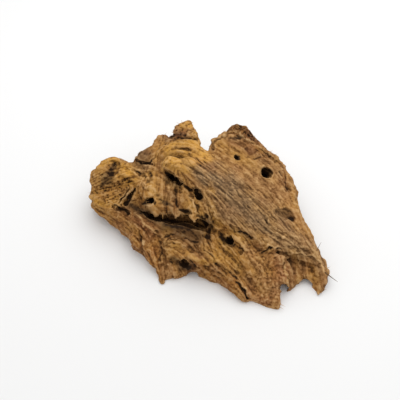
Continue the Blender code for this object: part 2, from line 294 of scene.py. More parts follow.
def edges_of(piece: Piece) -> np.ndarray:
    """The two ends of each edge of a mesh, one edge a row."""
    values = np.empty(len(piece.data.edges) * 2, dtype=np.int32)
    piece.data.edges.foreach_get("vertices", values)
    return values.reshape(-1, 2)


def spread_over(edges: np.ndarray, values: np.ndarray, rounds: int) -> np.ndarray:
    """Values at points, each evened out with those of its neighbours.

    Args:
        edges: The mesh's edges.
        values: One value, or one row, a point.
        rounds: How many times they are evened out.

    Returns:
        The smoother values.
    """
    table = values.reshape(len(values), -1).astype(np.float64)
    start, end = edges[:, 0], edges[:, 1]
    count = np.bincount(start, minlength=len(table)) + np.bincount(end, minlength=len(table))
    for _ in range(rounds):
        columns = []
        for column in table.T:
            total = np.bincount(start, column[end], len(table)) + np.bincount(end, column[start], len(table))
            columns.append((column + total) / (1 + count))
        table = np.stack(columns, axis=1)
    return table.reshape(values.shape)


def drawn_out(piece: Piece, values: np.ndarray, rounds: int) -> np.ndarray:
    """Values at points, drawn out over the skin along the way the wood grew, and down its broken ends.

    Args:
        piece: The piece.
        values: One value a point.
        rounds: How many times each is evened out with those of its neighbours along the growth.

    Returns:
        The drawn out values, around 0 and with an even spread.
    """
    points, normals = points_of(piece), normals_of(piece)
    flow = np.zeros_like(points)
    for way in (GROWTH, BREAKAGE):
        flow += np.array(way) - normals * (normals @ np.array(way))[:, None]
    start, end = edges_of(piece).T
    step = points[end] - points[start]
    flow = flow[start] + flow[end]
    lengths = np.linalg.norm(step, axis=1) * np.linalg.norm(flow, axis=1)
    near = np.abs((step * flow).sum(axis=1)) / (lengths + 1e-9)
    weight = 0.02 + near ** 6
    total = 1 + np.bincount(start, weight, len(points)) + np.bincount(end, weight, len(points))
    for _ in range(rounds):
        values = (values + np.bincount(start, weight * values[end], len(points))
                  + np.bincount(end, weight * values[start], len(points))) / total
    return (values - values.mean()) / values.std()


def between_cells(table: np.ndarray, row: np.ndarray, column: np.ndarray) -> np.ndarray:
    """A table read between its cells.

    Args:
        table: The table.
        row: Rows, with parts of a cell.
        column: Columns, with parts of a cell.

    Returns:
        One value for each row and column.
    """
    r0, c0 = row.astype(int), column.astype(int)
    fr, fc = row - r0, column - c0
    near = table[r0, c0] * (1 - fc) + table[r0, c0 + 1] * fc
    far = table[r0 + 1, c0] * (1 - fc) + table[r0 + 1, c0 + 1] * fc
    return near * (1 - fr) + far * fr


def store(piece: Piece, name: str, *channels: np.ndarray) -> None:
    """Stores three values at each point of a mesh as a colour attribute.

    Args:
        piece: The mesh.
        name: The attribute's name.
        channels: Up to three lists of one value a point.
    """
    values = np.ones((len(piece.data.vertices), 4), dtype=np.float32)
    for index, channel in enumerate(channels):
        values[:, index] = np.clip(channel, 0, 1)
    attribute = piece.data.color_attributes.new(name, "FLOAT_COLOR", "POINT")
    attribute.data.foreach_set("color", values.ravel())


def smooth_step(values: np.ndarray, low: float, high: float) -> np.ndarray:
    """A soft step from 0 at low to 1 at high."""
    share = np.clip((values - low) / (high - low), 0.0, 1.0)
    return share * share * (3 - 2 * share)


@dataclass
class DriftwoodForm:
    """The whole chunk as one closed skin: plates, strands and lobes fused, laid with ridges and worn."""

    voxel: float = 1.0
    cutter_voxel: float = 0.8
    skin_voxel: float = 0.6
    lay_steps: int = 3
    slab_round: float = 3.0
    weld: float = 0.01
    wear_along: float = 14.0
    wear_across: float = 5.0
    wear_depth: float = 1.1
    hollow_depth: float = 2.0
    hollow_shape: Triple = (1.1, 1.1, 0.45)
    slabs: dict[str, tuple[list[Place], Triple, float]] = field(default_factory=lambda: {
        "wing": ([(209, 150), (210, 142), (213, 137), (220, 134), (226, 128), (232, 124), (238, 121),
            (248, 125), (253, 132), (260, 140), (267, 146), (276, 156), (287, 164), (286, 169), (293, 177),
            (298, 190), (297, 200), (303, 216), (315, 238), (327, 262), (329, 270), (322, 275), (300, 255),
            (250, 225), (205, 185)], (42, -0.29, 0.20), 12),
        "wing_face": ([(208, 150), (210, 143), (213, 137), (223, 132), (232, 131), (241, 134), (252, 142),
            (262, 145), (271, 153), (282, 160), (286, 166), (290, 175), (295, 184), (297, 190), (296, 200),
            (302, 216), (313, 238), (324, 262), (326, 270), (300, 253), (262, 240), (215, 215), (195, 180)],
            (47, -0.29, 0.20), 10),
        "bed": ([(92, 199), (103, 208), (120, 219), (128, 228), (131, 239), (143, 248), (152, 260),
            (158, 272), (163, 277), (172, 275), (186, 269), (196, 268), (212, 275), (232, 286), (250, 297),
            (270, 305), (280, 306), (281, 283), (290, 283), (280, 255), (262, 235), (205, 190), (150, 190),
            (110, 185)], (29, 0.12, 0.44), 20),
        "scoop_floor": ([(281, 283), (291, 287), (297, 281), (305, 278), (312, 281), (319, 290), (326, 286),
            (326, 274), (318, 258), (270, 240)], (16, 0.0, 0.20), 10),
        "crown_block": ([(175, 124), (181, 121), (187, 118), (191, 118), (195, 126), (198, 133), (201, 141),
            (199, 152), (183, 152), (168, 145), (166, 136), (173, 132)], (57, 0.0, 0.0), 22),
        "limb_plate": ([(124, 165), (130, 161), (135, 160), (141, 163), (148, 166), (154, 168), (151, 174),
            (143, 177), (134, 173)], (43, 0.0, 0.0), 14),
        "west_stub": ([(133, 157), (139, 151), (145, 147), (150, 144), (157, 143), (160, 157), (151, 163),
            (140, 160)], (49, 0.0, 0.0), 14),
    })
    strands: dict[str, Course] = field(default_factory=lambda: {
        "hump": [(190, 162, 62, 14), (208, 172, 60, 15), (230, 187, 53, 16), (254, 207, 43, 13),
            (278, 225, 34, 11), (302, 240, 27, 7), (313, 250, 21, 5), (320, 262, 15, 4), (322, 276, 9, 4)],
        "hump_side": [(250, 196, 46, 14), (272, 210, 36, 12), (290, 227, 27, 9), (305, 244, 19, 6)],
        "hump_edge": [(170, 158, 62, 6), (189, 168, 60, 7), (200, 180, 56, 8), (212, 188, 54, 9),
            (221, 200, 49, 11), (236, 212, 43, 10), (256, 228, 34, 9), (270, 236, 30, 8)],
        "second_ridge": [(163, 150, 56, 7), (175, 144, 60, 8), (192, 147, 61, 8), (210, 160, 59, 8),
            (235, 178, 54, 8)],
        "shoulder": [(162, 137, 50, 8), (160, 150, 53, 11), (157, 165, 51, 12), (156, 180, 46, 11)],
        "crown_side": [(165, 147, 52, 9), (161, 137, 51, 7)],
        "notch_wall": [(199, 147, 58, 4), (205, 152, 57, 3)],
        "skirt": [(150, 184, 44, 9), (163, 187, 44, 10), (178, 190, 44, 10), (195, 194, 45, 10),
            (207, 202, 44, 8)],
        "skirt_1": [(153, 178, 49, 8), (153, 190, 45, 8), (154, 201, 40, 6)],
        "skirt_2": [(161, 176, 49, 8), (162, 190, 45, 7), (163, 202, 40, 6)],
        "skirt_3": [(171, 185, 47, 7), (173, 195, 45, 7), (173, 203, 40, 5)],
        "skirt_4": [(184, 191, 47, 6), (184, 197, 45, 6), (184, 200, 41, 6)],
        "skirt_5": [(193, 199, 46, 6), (194, 202, 42, 6)],
        "skirt_6": [(203, 200, 46, 6), (206, 208, 42, 5)],
        "tooth_1": [(154, 205, 40, 4), (156, 213, 37, 2.2)],
        "tooth_2": [(163, 206, 40, 4), (164, 216, 37, 2.4)],
        "tooth_3": [(173, 207, 41, 4), (174, 215, 38, 2.2)],
        "tooth_4": [(181, 205, 42, 3), (180, 214, 38, 1.8)],
        "tooth_5": [(190, 203, 43, 4), (193, 212, 40, 3.2), (195, 222, 36, 2)],
        "tooth_6": [(198, 206, 42, 3), (201, 215, 39, 2)],
        "tooth_7": [(206, 209, 42, 3), (210, 220, 38, 1.8)],
        "limb": [(152, 180, 40, 14), (134, 176, 38, 15), (115, 177, 35, 15), (103, 179, 31, 12)],
        "limb_top": [(126, 165, 41, 7), (112, 160, 42, 9), (103, 166, 39, 9)],
        "limb_low": [(118, 190, 31, 8), (104, 191, 28, 8), (97, 190, 26, 7)],
        "limb_face": [(97, 173, 33, 7), (106, 173, 38, 8), (117, 174, 39, 8)],
        "limb_ridge": [(120, 169, 41, 4), (131, 173, 42, 4), (143, 180, 42, 4)],
        "west_arm": [(99, 196, 18, 8), (115, 206, 18, 9), (134, 218, 22, 11), (156, 228, 24, 12)],
        "foot": [(150, 222, 26, 9), (152, 240, 21, 9), (157, 256, 14, 7), (161, 268, 8, 4.5),
            (162, 275, 5, 3), (162.5, 281, 3, 1.4)],
        "foot_right": [(172, 235, 26, 12), (182, 248, 22, 9), (196, 256, 20, 8)],
        "middle": [(205, 225, 30, 9), (206, 238, 28, 10), (217, 254, 23, 9), (231, 272, 15, 8),
            (246, 290, 9, 6)],
        "right": [(236, 236, 30, 7), (252, 256, 24, 9), (266, 278, 15, 10)],
        "prong": [(256, 262, 22, 10), (266, 279, 14, 10), (271, 291, 9, 7), (275, 300, 5.5, 5)],
        "rib": [(282, 258, 22, 5), (287, 270, 14, 5), (290, 281, 8, 4)],
        "right_leg": [(322, 268, 14, 6), (322, 279, 9, 4.6), (320, 287, 5, 3), (318.5, 293, 3, 1.4)],
    })
    lobes: dict[str, tuple[Triple, Triple]] = field(default_factory=lambda: {
        "belly": ((-5, 12, 18), (66, 40, 18)),
        "back": ((-2, 36, 22), (46, 22, 22)),
        "right_mass": ((53, -17, 10), (30, 15, 12)),
    })
    underside: tuple[Triple, Triple] = ((-2, 3, -1.5), (54, 30, 5))
    scoop: tuple[Triple, Triple] = ((305, 263, 22.5), (17, 14, 11))
    hollows: dict[str, Course] = field(default_factory=lambda: {
        "lip": [(134, 210, 26, 0.8), (143, 213, 28, 1.6), (152, 217, 29, 2.8), (163, 219, 30, 4.2),
            (175, 220, 30, 4.8), (186, 221, 31, 5.2), (197, 224, 31, 5.4), (206, 227, 30, 4.6),
            (214, 231, 29, 2.6)],
        "lip_back": [(152, 215, 26, 3), (165, 216, 26, 5), (178, 217, 26, 5.5), (190, 217, 27, 5.5),
            (203, 222, 27, 5)],
        "knob": [(169, 174, 50, 4), (175, 178, 49, 5.2), (181, 182, 48, 3.2)],
        "drop": [(195, 188, 50, 1.6), (197, 191, 48, 2.6), (199, 195, 46, 3.4), (200, 197, 44, 3.6)],
        "scoop_corner": [(291, 259, 19, 3.6), (294, 264, 18, 4)],
        "right_arch": [(306, 286, 0, 5), (303, 274, -2, 6)],
        "left_arch": [(284, 288, -1, 3.2), (284, 288, 10, 3.2)],
        "front_arch": [(193, 274, 0, 5), (198, 262, -2, 6)],
    })
    holes: dict[str, tuple[float, float, float, float]] = field(default_factory=lambda: {
        "wing_hole": (266.5, 172, 6.0, 11),
        "wing_pin": (236, 157, 1.6, 9),
        "drop_top": (196.5, 191, 1.9, 9),
        "drop_hole": (199.5, 196.5, 3.3, 14),
        "saddle_hole": (151, 200, 2.8, 8),
        "saddle_left": (146, 201.5, 2.0, 4),
        "bed_hole": (228, 240, 4.2, 11),
        "foot_hole": (184, 264, 4.0, 9),
    })
    grooves: dict[str, Stroke] = field(default_factory=lambda: {
        "wing_dish": (2.0, [(278, 212, 7), (285, 215, 10), (291, 218, 7)]),
        "bed_dish": (3.5, [(221, 235, 10), (230, 242, 15), (238, 250, 9)]),
        "hump_split": (0.9, [(236, 190, 2), (241, 195, 3), (246, 199, 2)]),
        "hump_split_low": (0.9, [(258, 208, 2), (263, 216, 3), (269, 226, 2)]),
        "ridge_gap": (1.0, [(172, 149, 3), (180, 149, 4), (190, 150, 3)]),
        "ridge_slit": (1.2, [(196, 158, 3), (203, 166, 4), (211, 168, 3)]),
        "crown_foot": (1.6, [(176, 138, 4), (188, 138, 4), (198, 139, 4)]),
        "limb_crack": (3.0, [(135, 189, 2.5), (131, 196, 5), (126, 203, 5)]),
        "limb_cup": (1.6, [(116, 167, 7), (111, 174, 12), (106, 181, 14)]),
        "limb_step": (1.4, [(97, 189, 4), (91, 193, 5)]),
        "limb_slit": (2.6, [(114, 206, 4), (121, 209, 5), (129, 215, 4)]),
        "shoulder_crack": (2.0, [(136, 160, 2.2), (144, 163, 2.4), (152, 164, 2)]),
        "edge_crack": (1.6, [(182, 184, 2), (187, 188, 3), (193, 192, 2.4)]),
        "limb_shelf": (1.2, [(137, 172, 3), (141, 175, 4), (145, 178, 3)]),
        "limb_grain": (1.0, [(92, 194, 3), (102, 191, 4), (113, 187, 3)]),
        "rim_groove": (1.8, [(230, 226, 4), (240, 231, 5), (251, 238, 4)]),
        "front_crack": (2.2, [(216, 265, 3), (226, 272, 5), (234, 277, 6), (241, 287, 5), (249, 299, 4)]),
        "foot_groove": (0.9, [(157, 234, 5), (162, 246, 6), (160, 260, 5)]),
        "plate_groove": (1.0, [(206, 236, 4), (210, 248, 5), (222, 261, 5), (237, 272, 4)]),
        "hook_groove": (1.0, [(184, 162, 4), (196, 170, 5), (208, 182, 4)]),
        "shelf_low": (1.3, [(232, 130, 4), (239, 130, 7), (248, 135, 6)]),
        "wing_groove": (2.2, [(281, 172, 4), (286, 182, 5), (290, 190, 4)]),
        "flute_1": (0.5, [(158, 192, 4), (158, 202, 5), (157, 214, 5)]),
        "flute_2": (0.6, [(168, 190, 4), (168, 202, 5), (169, 214, 5)]),
        "flute_3": (0.8, [(177, 190, 4), (178, 202, 6), (179, 213, 5)]),
        "flute_4": (0.8, [(185, 192, 4), (186, 202, 6), (188, 212, 5)]),
        "flute_5": (1.4, [(196, 203, 4), (199, 209, 5), (203, 217, 5)]),
        "recess": (2.2, [(179, 263, 8), (185, 265, 13), (192, 268, 9)]),
        "foot_face": (1.0, [(141, 238, 4), (146, 248, 5), (151, 262, 5), (157, 276, 4)]),
        "scoop_fold": (1.2, [(289, 260, 5), (291, 267, 5), (293, 273, 4)]),
    })
    ridges: dict[str, Stroke] = field(default_factory=lambda: {
        "bed_ridge": (2.4, [(137, 215, 4), (146, 224, 7), (156, 231, 6)]),
        "wing_rim": (1.8, [(221, 137, 4), (226, 132.5, 4), (232, 131, 4), (238, 134, 4), (243, 139.5, 4),
            (250, 142, 4), (258, 145, 4), (267, 153, 4), (277, 160, 4)]),
        "limb_sliver": (2.2, [(132, 187, 4), (126, 193, 5), (117, 201, 4)]),
        "foot_lump": (2.6, [(134, 236, 7), (136, 243, 9), (140, 248, 7)]),
        "foot_fan": (2.2, [(164, 243, 5), (174, 240, 7), (184, 245, 6)]),
        "knot_lip": (1.0, [(144, 183, 3), (147, 188, 3.6), (153, 186, 3)]),
        "tongue": (1.4, [(227, 231, 4), (236, 236, 7), (243, 243, 6), (246, 249, 4)]),
        "hook_edge": (1.0, [(167, 170, 3), (174, 174, 4), (182, 179, 3)]),
        "crumb_ledge": (2.4, [(190, 257, 5), (200, 258, 7), (208, 263, 5)]),
    })

    def strand(self, name: str, path: Track) -> list[Piece]:
        """A smooth tapering strand with round ends.

        Args:
            name: Its name.
            path: Its points, each with the strand's radius there.

        Returns:
            The tube and the balls at its ends.
        """
        curve = bpy.data.curves.new(name, "CURVE")
        curve.dimensions = "3D"
        curve.bevel_depth = 1.0
        curve.bevel_resolution = 4
        curve.resolution_u = 8
        curve.use_fill_caps = True
        spline = curve.splines.new("BEZIER")
        spline.bezier_points.add(len(path) - 1)
        for knot, (point, radius) in zip(spline.bezier_points, path):
            knot.co = point
            knot.radius = radius
            knot.handle_left_type = knot.handle_right_type = "AUTO"
        made = bpy.data.objects.new(name, curve)
        bpy.context.scene.collection.objects.link(made)
        return [made] + [ball(point, (radius,) * 3) for point, radius in (path[0], path[-1])]

    def strands_of(self, name: str, paths: list[Track]) -> list[Piece]:
        """Strands along several paths, as meshes with welded caps.

        Args:
            name: Their name.
            paths: A path of points and radii for each.

        Returns:
            The tubes and the balls at their ends.
        """
        parts = [part for path in paths for part in self.strand(name, path)]
        tubes = [part for part in parts if part.type == "CURVE"]
        select_only(*tubes)
        bpy.ops.object.convert(target="MESH")
        whole = joined(tubes)
        edited(whole, partial(bpy.ops.mesh.remove_doubles, threshold=self.weld))
        return [whole] + [part for part in parts if part not in tubes]

    def slab(self, name: str, outline: list[Place], plane: Triple, thickness: float) -> Piece:
        """A plate with rounded edges, sheared so that its top lies in a sloping plane.

        Args:
            name: Its name.
            outline: Its edge, as seen.
            plane: The plane of its top.
            thickness: Its thickness.

        Returns:
            The plate.
        """
        height, slope_x, slope_y = plane
        curve = bpy.data.curves.new(name, "CURVE")
        curve.dimensions = "2D"
        curve.fill_mode = "BOTH"
        curve.extrude = thickness / 2 - self.slab_round
        curve.bevel_depth = self.slab_round
        curve.bevel_resolution = 2
        curve.offset = -self.slab_round
        spline = curve.splines.new("POLY")
        spline.points.add(len(outline) - 1)
        for knot, place in zip(spline.points, outline):
            point = VIEW.seen_on_plane(*place, plane)
            knot.co = (point.x, point.y, 0.0, 1.0)
        spline.use_cyclic_u = True
        made = meshed(name, curve)
        edited(made, partial(bpy.ops.mesh.remove_doubles, threshold=self.weld))
        made.data.transform(Matrix((
            (1, 0, 0, 0),
            (0, 1, 0, 0),
            (slope_x, slope_y, 1, height - thickness / 2),
            (0, 0, 0, 1),
        )))
        return made

    def laid(self, skin: BVHTree, amount: float, places: list[Triple], side: int) -> Track:
        """A path for a strand that stands out of the form, or sinks into it.

        Args:
            skin: The form.
            amount: How far it stands out or sinks in.
            places: Places as seen, with the width there.
            side: 1 for a ridge and -1 for a groove.

        Returns:
            The path's points and radii.
        """
        path = []
        for start, end in zip(places, places[1:]):
            for step in range(self.lay_steps + (end is places[-1])):
                across, down, width = Vector(start).lerp(Vector(end), step / self.lay_steps)
                spot = VIEW.touched(skin, across, down)
                if spot is None:
                    continue
                point, normal = spot
                radius = (width * width / 4 + amount * amount) / (2 * amount)
                path.append((point + normal * side * (amount - radius), radius))
        return path

    def bored(self, skin: BVHTree, across: float, down: float, radius: float, depth: float) -> Track:
        """A path for a hole bored into the form.

        Args:
            skin: The form.
            across: Place across the view.
            down: Place down the view.
            radius: The hole's radius.
            depth: Its depth.

        Returns:
            The path's points and radii.
        """
        point, normal = VIEW.touched(skin, across, down)
        return [(point + normal * radius, radius), (point - normal * depth, radius * 0.8)]

    def melted(self, objects: list[Piece], voxel: float) -> Piece:
        """Fuses overlapping solids into one closed skin."""
        return applied(joined(objects), "REMESH", mode="VOXEL", voxel_size=voxel)

    def placed(self, path: Course) -> Track:
        """A path whose places and tops are given, as the middle of a strand and its radius."""
        return [(VIEW.seen(u, v, top) - Vector((0, 0, radius)), radius) for u, v, top, radius in path]

    def build(self) -> Piece:
        """The whole chunk, before its fine relief and before it is parted.

        Returns:
            One closed mesh in millimetres.
        """
        solids = self.strands_of("strands", [self.placed(path) for path in self.strands.values()])
        solids += [self.slab(name, *plate) for name, plate in self.slabs.items()]
        solids += [ball(Vector(centre), radii) for centre, radii in self.lobes.values()]
        body = self.melted(solids, self.voxel)
        skin = skin_of(body)
        ridges = self.strands_of("ridges", [self.laid(skin, *ridge, 1) for ridge in self.ridges.values()])
        paths = [self.laid(skin, *groove, -1) for groove in self.grooves.values()]
        paths += [self.bored(skin, *hole) for hole in self.holes.values()]
        paths += [[(VIEW.seen(u, v, height), radius) for u, v, height, radius in hollow]
                  for hollow in self.hollows.values()]
        body = self.melted([body] + ridges, self.voxel)
        worn = self.strands_of("worn", paths)
        worn.append(ball(Vector(self.underside[0]), self.underside[1]))
        worn.append(ball(VIEW.seen(*self.scoop[0]), self.scoop[1]))
        cutter = self.melted(worn, self.cutter_voxel)
        applied(body, "BOOLEAN", operation="DIFFERENCE", object=cutter, solver="EXACT")
        bpy.data.objects.remove(cutter)
        applied(body, "REMESH", mode="VOXEL", voxel_size=self.skin_voxel)
        applied(body, "SMOOTH", factor=0.5, iterations=3)
        self.wear(body)
        return body

    def wear(self, body: Piece) -> None:
        """Wears the whole skin unevenly along the grain, and sinks hollows in its rear.

        Args:
            body: The whole chunk.
        """
        grain = Matrix.Rotation(GRAIN_TURN, 3, "Z")
        stretch = Matrix.Diagonal((1 / self.wear_along, 1 / self.wear_across, 1 / self.wear_across))
        lattice = np.array(stretch @ grain)
        points = points_of(body)
        spots = points @ lattice.T
        waves = np.array([noise.noise(spot) + 0.5 * noise.noise(spot * 2.1) for spot in map(Vector, spots)])
        normals = normals_of(body)
        rear = smooth_step(-(normals * VIEW.toward(points)).sum(axis=1), -0.3, 0.3)
        sunk = np.array([noise.noise(spot) for spot in map(Vector, spots * self.hollow_shape + 7.3)])
        depth = waves * self.wear_depth - rear * smooth_step(sunk, 0.0, 0.5) * self.hollow_depth
        move_points(body, points + normals * depth[:, None])


@dataclass(frozen=True)
class Region:
    """A stretch of the surface as seen: its outline, how rough it is, and its tones from 0 to 1."""

    outline: list[Place]
    fibre: float = 1.0
    lump: float = 0.6
    pits: float = 0.0
    flakes: float = 0.0
    grit: float = 0.3
    gold: float = 0.2
    rust: float = 0.1
    grey: float = 0.0
    dark: float = 0.0
    pale: float = 0.0


@dataclass(frozen=True)
class Mark:
    """One worn or coloured spot as seen: its path with widths, how far it is raised, and its tones; its dark
    in a crack, slit, pit, hole or hollow is painted shade.
    """

    path: list[Triple]
    lift: float = 0.0
    dark: float = 0.0
    gold: float = 0.0
    rust: float = 0.0
    grey: float = 0.0
    pale: float = 0.0
    sharp: float = 2.0


@dataclass
class SurfaceMap:
    """A grid over the reference view, on which grain, relief and tones are laid out."""

    left: float = 76.0
    top: float = 108.0
    wide: float = 272.0
    tall: float = 214.0
    cells: int = 3
    coarse: float = 2.0
    seed: int = 41
    threads: int = 2600
    stride: float = 1.4
    tones_of: tuple[str, ...] = ("gold", "rust", "grey", "dark", "pale")
    rough_of: tuple[str, ...] = ("fibre", "lump", "pits", "flakes", "grit")
    grain: dict[str, list[Place]] = field(default_factory=lambda: {
        "hump": [(185, 160), (215, 178), (240, 200), (262, 225), (290, 243), (318, 262)],
        "hook": [(163, 172), (168, 161), (180, 154), (195, 158), (212, 172), (235, 190)],
        "second": [(160, 152), (175, 143), (192, 146), (210, 158), (235, 176), (262, 200)],
        "wing": [(213, 140), (240, 160), (268, 185), (290, 215), (310, 245)],
        "wing_edge": [(262, 147), (285, 172), (297, 200), (315, 238), (327, 270)],
        "shoulder": [(163, 135), (157, 160), (157, 180), (156, 205)],
        "skirt_left": [(150, 188), (148, 214)],
        "skirt_middle": [(175, 185), (175, 215)],
        "skirt_right": [(198, 198), (209, 220)],
        "limb_top": [(128, 163), (114, 164), (97, 174)],
        "limb_upper": [(122, 170), (108, 177), (92, 186)],
        "limb_middle": [(138, 181), (116, 188), (89, 194)],
        "limb_low": [(132, 190), (112, 202), (94, 206)],
        "limb_plate": [(152, 170), (140, 170), (128, 163)],
        "bed_left": [(97, 208), (125, 225), (140, 245), (157, 275)],
        "foot": [(136, 214), (150, 225), (160, 250), (163, 280)],
        "foot_fan": [(160, 246), (170, 240), (186, 243), (200, 258)],
        "bed_middle": [(140, 218), (175, 232), (190, 245), (205, 262), (235, 290)],
        "plate": [(205, 215), (207, 240), (216, 258), (235, 276), (248, 295)],
        "plate_rim": [(222, 224), (232, 236), (248, 252), (262, 280), (270, 305)],
        "granular": [(255, 240), (268, 258), (276, 285), (279, 305)],
        "scoop_left": [(288, 256), (290, 285)],
        "scoop": [(303, 255), (306, 280)],
        "leg": [(318, 258), (323, 288)],
        "crown": [(170, 133), (182, 134), (192, 128)],
        "shelf": [(222, 130), (242, 134), (262, 146), (285, 163)],
    })
    regions: dict[str, Region] = field(default_factory=lambda: {
        "limb_knob": Region([(86, 178), (95, 163), (105, 154), (120, 158), (124, 168), (117, 180),
            (106, 190), (90, 190)],
            fibre=0.7, lump=1.0, pits=0.25, grit=0.5, gold=0.6, rust=0.15, dark=0.06),
        "limb_end": Region([(86, 190), (106, 186), (120, 176), (134, 178), (134, 192), (122, 207),
            (104, 208), (90, 206)], fibre=0.8, lump=0.7, pits=0.8, gold=0.4, rust=0.3, dark=0.12),
        "limb_gold": Region([(117, 166), (126, 162), (134, 168), (130, 180), (118, 180)],
            fibre=0.6, lump=0.8, gold=0.8),
        "limb_plate": Region([(127, 160), (138, 158), (150, 164), (150, 170), (142, 173), (131, 168)],
            fibre=0.3, lump=0.4, gold=0.2, grey=0.45, pale=0.3),
        "limb_saddle": Region([(132, 176), (152, 172), (154, 200), (134, 205), (126, 200), (134, 188)],
            fibre=0.5, lump=0.9, gold=0.35, rust=0.25),
        # painted shade under the lip, over rust-brown wood
        "under_lip_shade": Region([(136, 211), (153, 215), (180, 219), (200, 218), (212, 222), (213, 232),
            (204, 240), (197, 248), (184, 240), (172, 233), (160, 228), (148, 221)],
            fibre=0.3, lump=0.6, grit=0.5, gold=0.1, rust=0.4, dark=0.24),
        # painted shade under the limb
        "under_limb_shade": Region([(124, 198), (148, 205), (156, 213), (140, 214), (124, 208)],
            fibre=0.6, lump=0.5, gold=0.1, rust=0.2, dark=0.25),
        "facet": Region([(136, 158), (142, 150), (150, 148), (152, 160), (144, 164)],
            fibre=0.4, lump=0.5, gold=0.1, grey=0.35, dark=0.46),
        "shoulder": Region([(150, 150), (154, 140), (164, 131), (172, 135), (166, 150), (164, 172),
            (160, 188), (148, 190), (150, 168)], fibre=0.5, lump=0.6, gold=0.3, rust=0.12, dark=0.06),
        "crown_top": Region([(176, 126), (182, 119), (190, 118), (199, 136), (190, 137), (178, 130)],
            fibre=0.3, lump=1.2, pits=0.4, grit=0.8, gold=0.5, dark=0.08),
        "crown_left": Region([(164, 135), (171, 128), (180, 129), (190, 134), (190, 141), (168, 143)],
            fibre=0.2, lump=1.3, pits=0.9, grit=0.8, gold=0.0, rust=0.8, dark=0.42),
        "ridges": Region([(160, 152), (170, 142), (186, 139), (202, 143), (214, 158), (190, 168),
            (165, 172)], fibre=0.25, lump=0.5, gold=0.85, pale=0.1),
        "skirt": Region([(150, 182), (166, 176), (190, 186), (212, 196), (214, 214), (202, 224), (182, 216),
            (150, 216)], fibre=0.25, lump=1.1, pits=0.1, grit=0.5, gold=0.4, rust=0.3, pale=0.2),
        "skirt_low": Region([(152, 203), (175, 203), (186, 207), (176, 218), (154, 216)],
            fibre=0.9, lump=1.0, grit=0.6, gold=0.2, rust=1.0, dark=0.34),
        "hump": Region([(196, 166), (222, 162), (262, 200), (300, 230), (322, 252), (325, 270), (298, 256),
            (262, 240), (226, 224), (208, 206), (200, 186)],
            fibre=0.95, lump=0.3, gold=0.1, grey=0.55, pale=0.06),
        "wing": Region([(206, 150), (212, 136), (226, 132), (262, 147), (287, 170), (300, 205), (322, 250),
            (300, 232), (264, 196), (232, 168)], fibre=0.18, lump=0.7, gold=0.16, rust=0.08, pale=0.22),
        "wing_top": Region([(214, 141), (228, 135), (250, 148), (266, 160), (252, 166), (226, 156),
            (212, 150)], fibre=0.2, lump=0.8, gold=0.08, rust=0.2, dark=0.18),
        "wing_edge": Region([(284, 165), (298, 190), (302, 210), (290, 206), (282, 185)],
            fibre=0.4, lump=0.9, gold=0.3, rust=0.45, dark=0.08),
        "shelf": Region([(214, 141), (222, 132), (238, 119), (256, 130), (264, 141), (256, 142), (244, 140),
            (237, 133), (224, 133)],
            fibre=0.2, lump=1.3, pits=0.9, flakes=0.8, grit=1.0, gold=0.0, rust=1.0, dark=0.3),
        "shelf_edge": Region([(244, 142), (262, 140), (290, 163), (284, 169), (264, 162), (250, 154)],
            fibre=0.4, lump=1.3, pits=0.5, flakes=1.2, grit=0.6, gold=0.1, rust=0.7, dark=0.12),
        "bed_left": Region([(88, 198), (112, 208), (135, 214), (148, 224), (146, 246), (128, 244),
            (108, 226)], fibre=0.7, lump=1.1, grit=0.4, gold=0.2, rust=0.45, dark=0.05),
        "foot": Region([(128, 234), (148, 226), (158, 236), (160, 258), (160, 284), (138, 252)],
            fibre=0.45, lump=1.1, pits=0.2, grit=0.9, gold=0.2, rust=0.75),
        "foot_plate": Region([(160, 242), (176, 237), (194, 246), (198, 258), (178, 260), (170, 272),
            (160, 280)], fibre=0.35, lump=0.7, grit=0.6, gold=0.08, rust=0.25, pale=0.08),
        "bed_middle": Region([(140, 214), (205, 222), (214, 258), (196, 256), (176, 238), (160, 236),
            (146, 224)], fibre=0.45, lump=0.7, gold=0.16, rust=0.2, dark=0.04),
        "plate": Region([(203, 214), (232, 226), (248, 256), (256, 306), (230, 270), (204, 254)],
            fibre=0.6, lump=0.4, gold=0.4, rust=0.08),
        "wall": Region([(190, 262), (212, 264), (234, 279), (248, 304), (222, 294), (190, 278)],
            fibre=0.3, lump=1.0, pits=0.2, grit=0.7, gold=0.15, rust=0.75, dark=0.14),
        "granular": Region([(240, 244), (262, 244), (286, 256), (284, 310), (250, 306), (246, 272)],
            fibre=0.12, lump=0.35, pits=0.25, grit=1.2, gold=0.15, rust=0.65, grey=0.12, pale=0.1),
        "scoop": Region([(284, 254), (300, 252), (320, 262), (326, 296), (300, 284), (284, 292)],
            fibre=0.15, lump=0.15, grit=0.4, gold=0.1, rust=0.5, pale=0.12, dark=0.06),
        "stringy": Region([(256, 226), (296, 238), (322, 256), (318, 262), (288, 254), (262, 246)],
            fibre=0.9, lump=1.0, grit=0.6, gold=0.25, rust=0.2, grey=0.2, pale=0.3),
    })
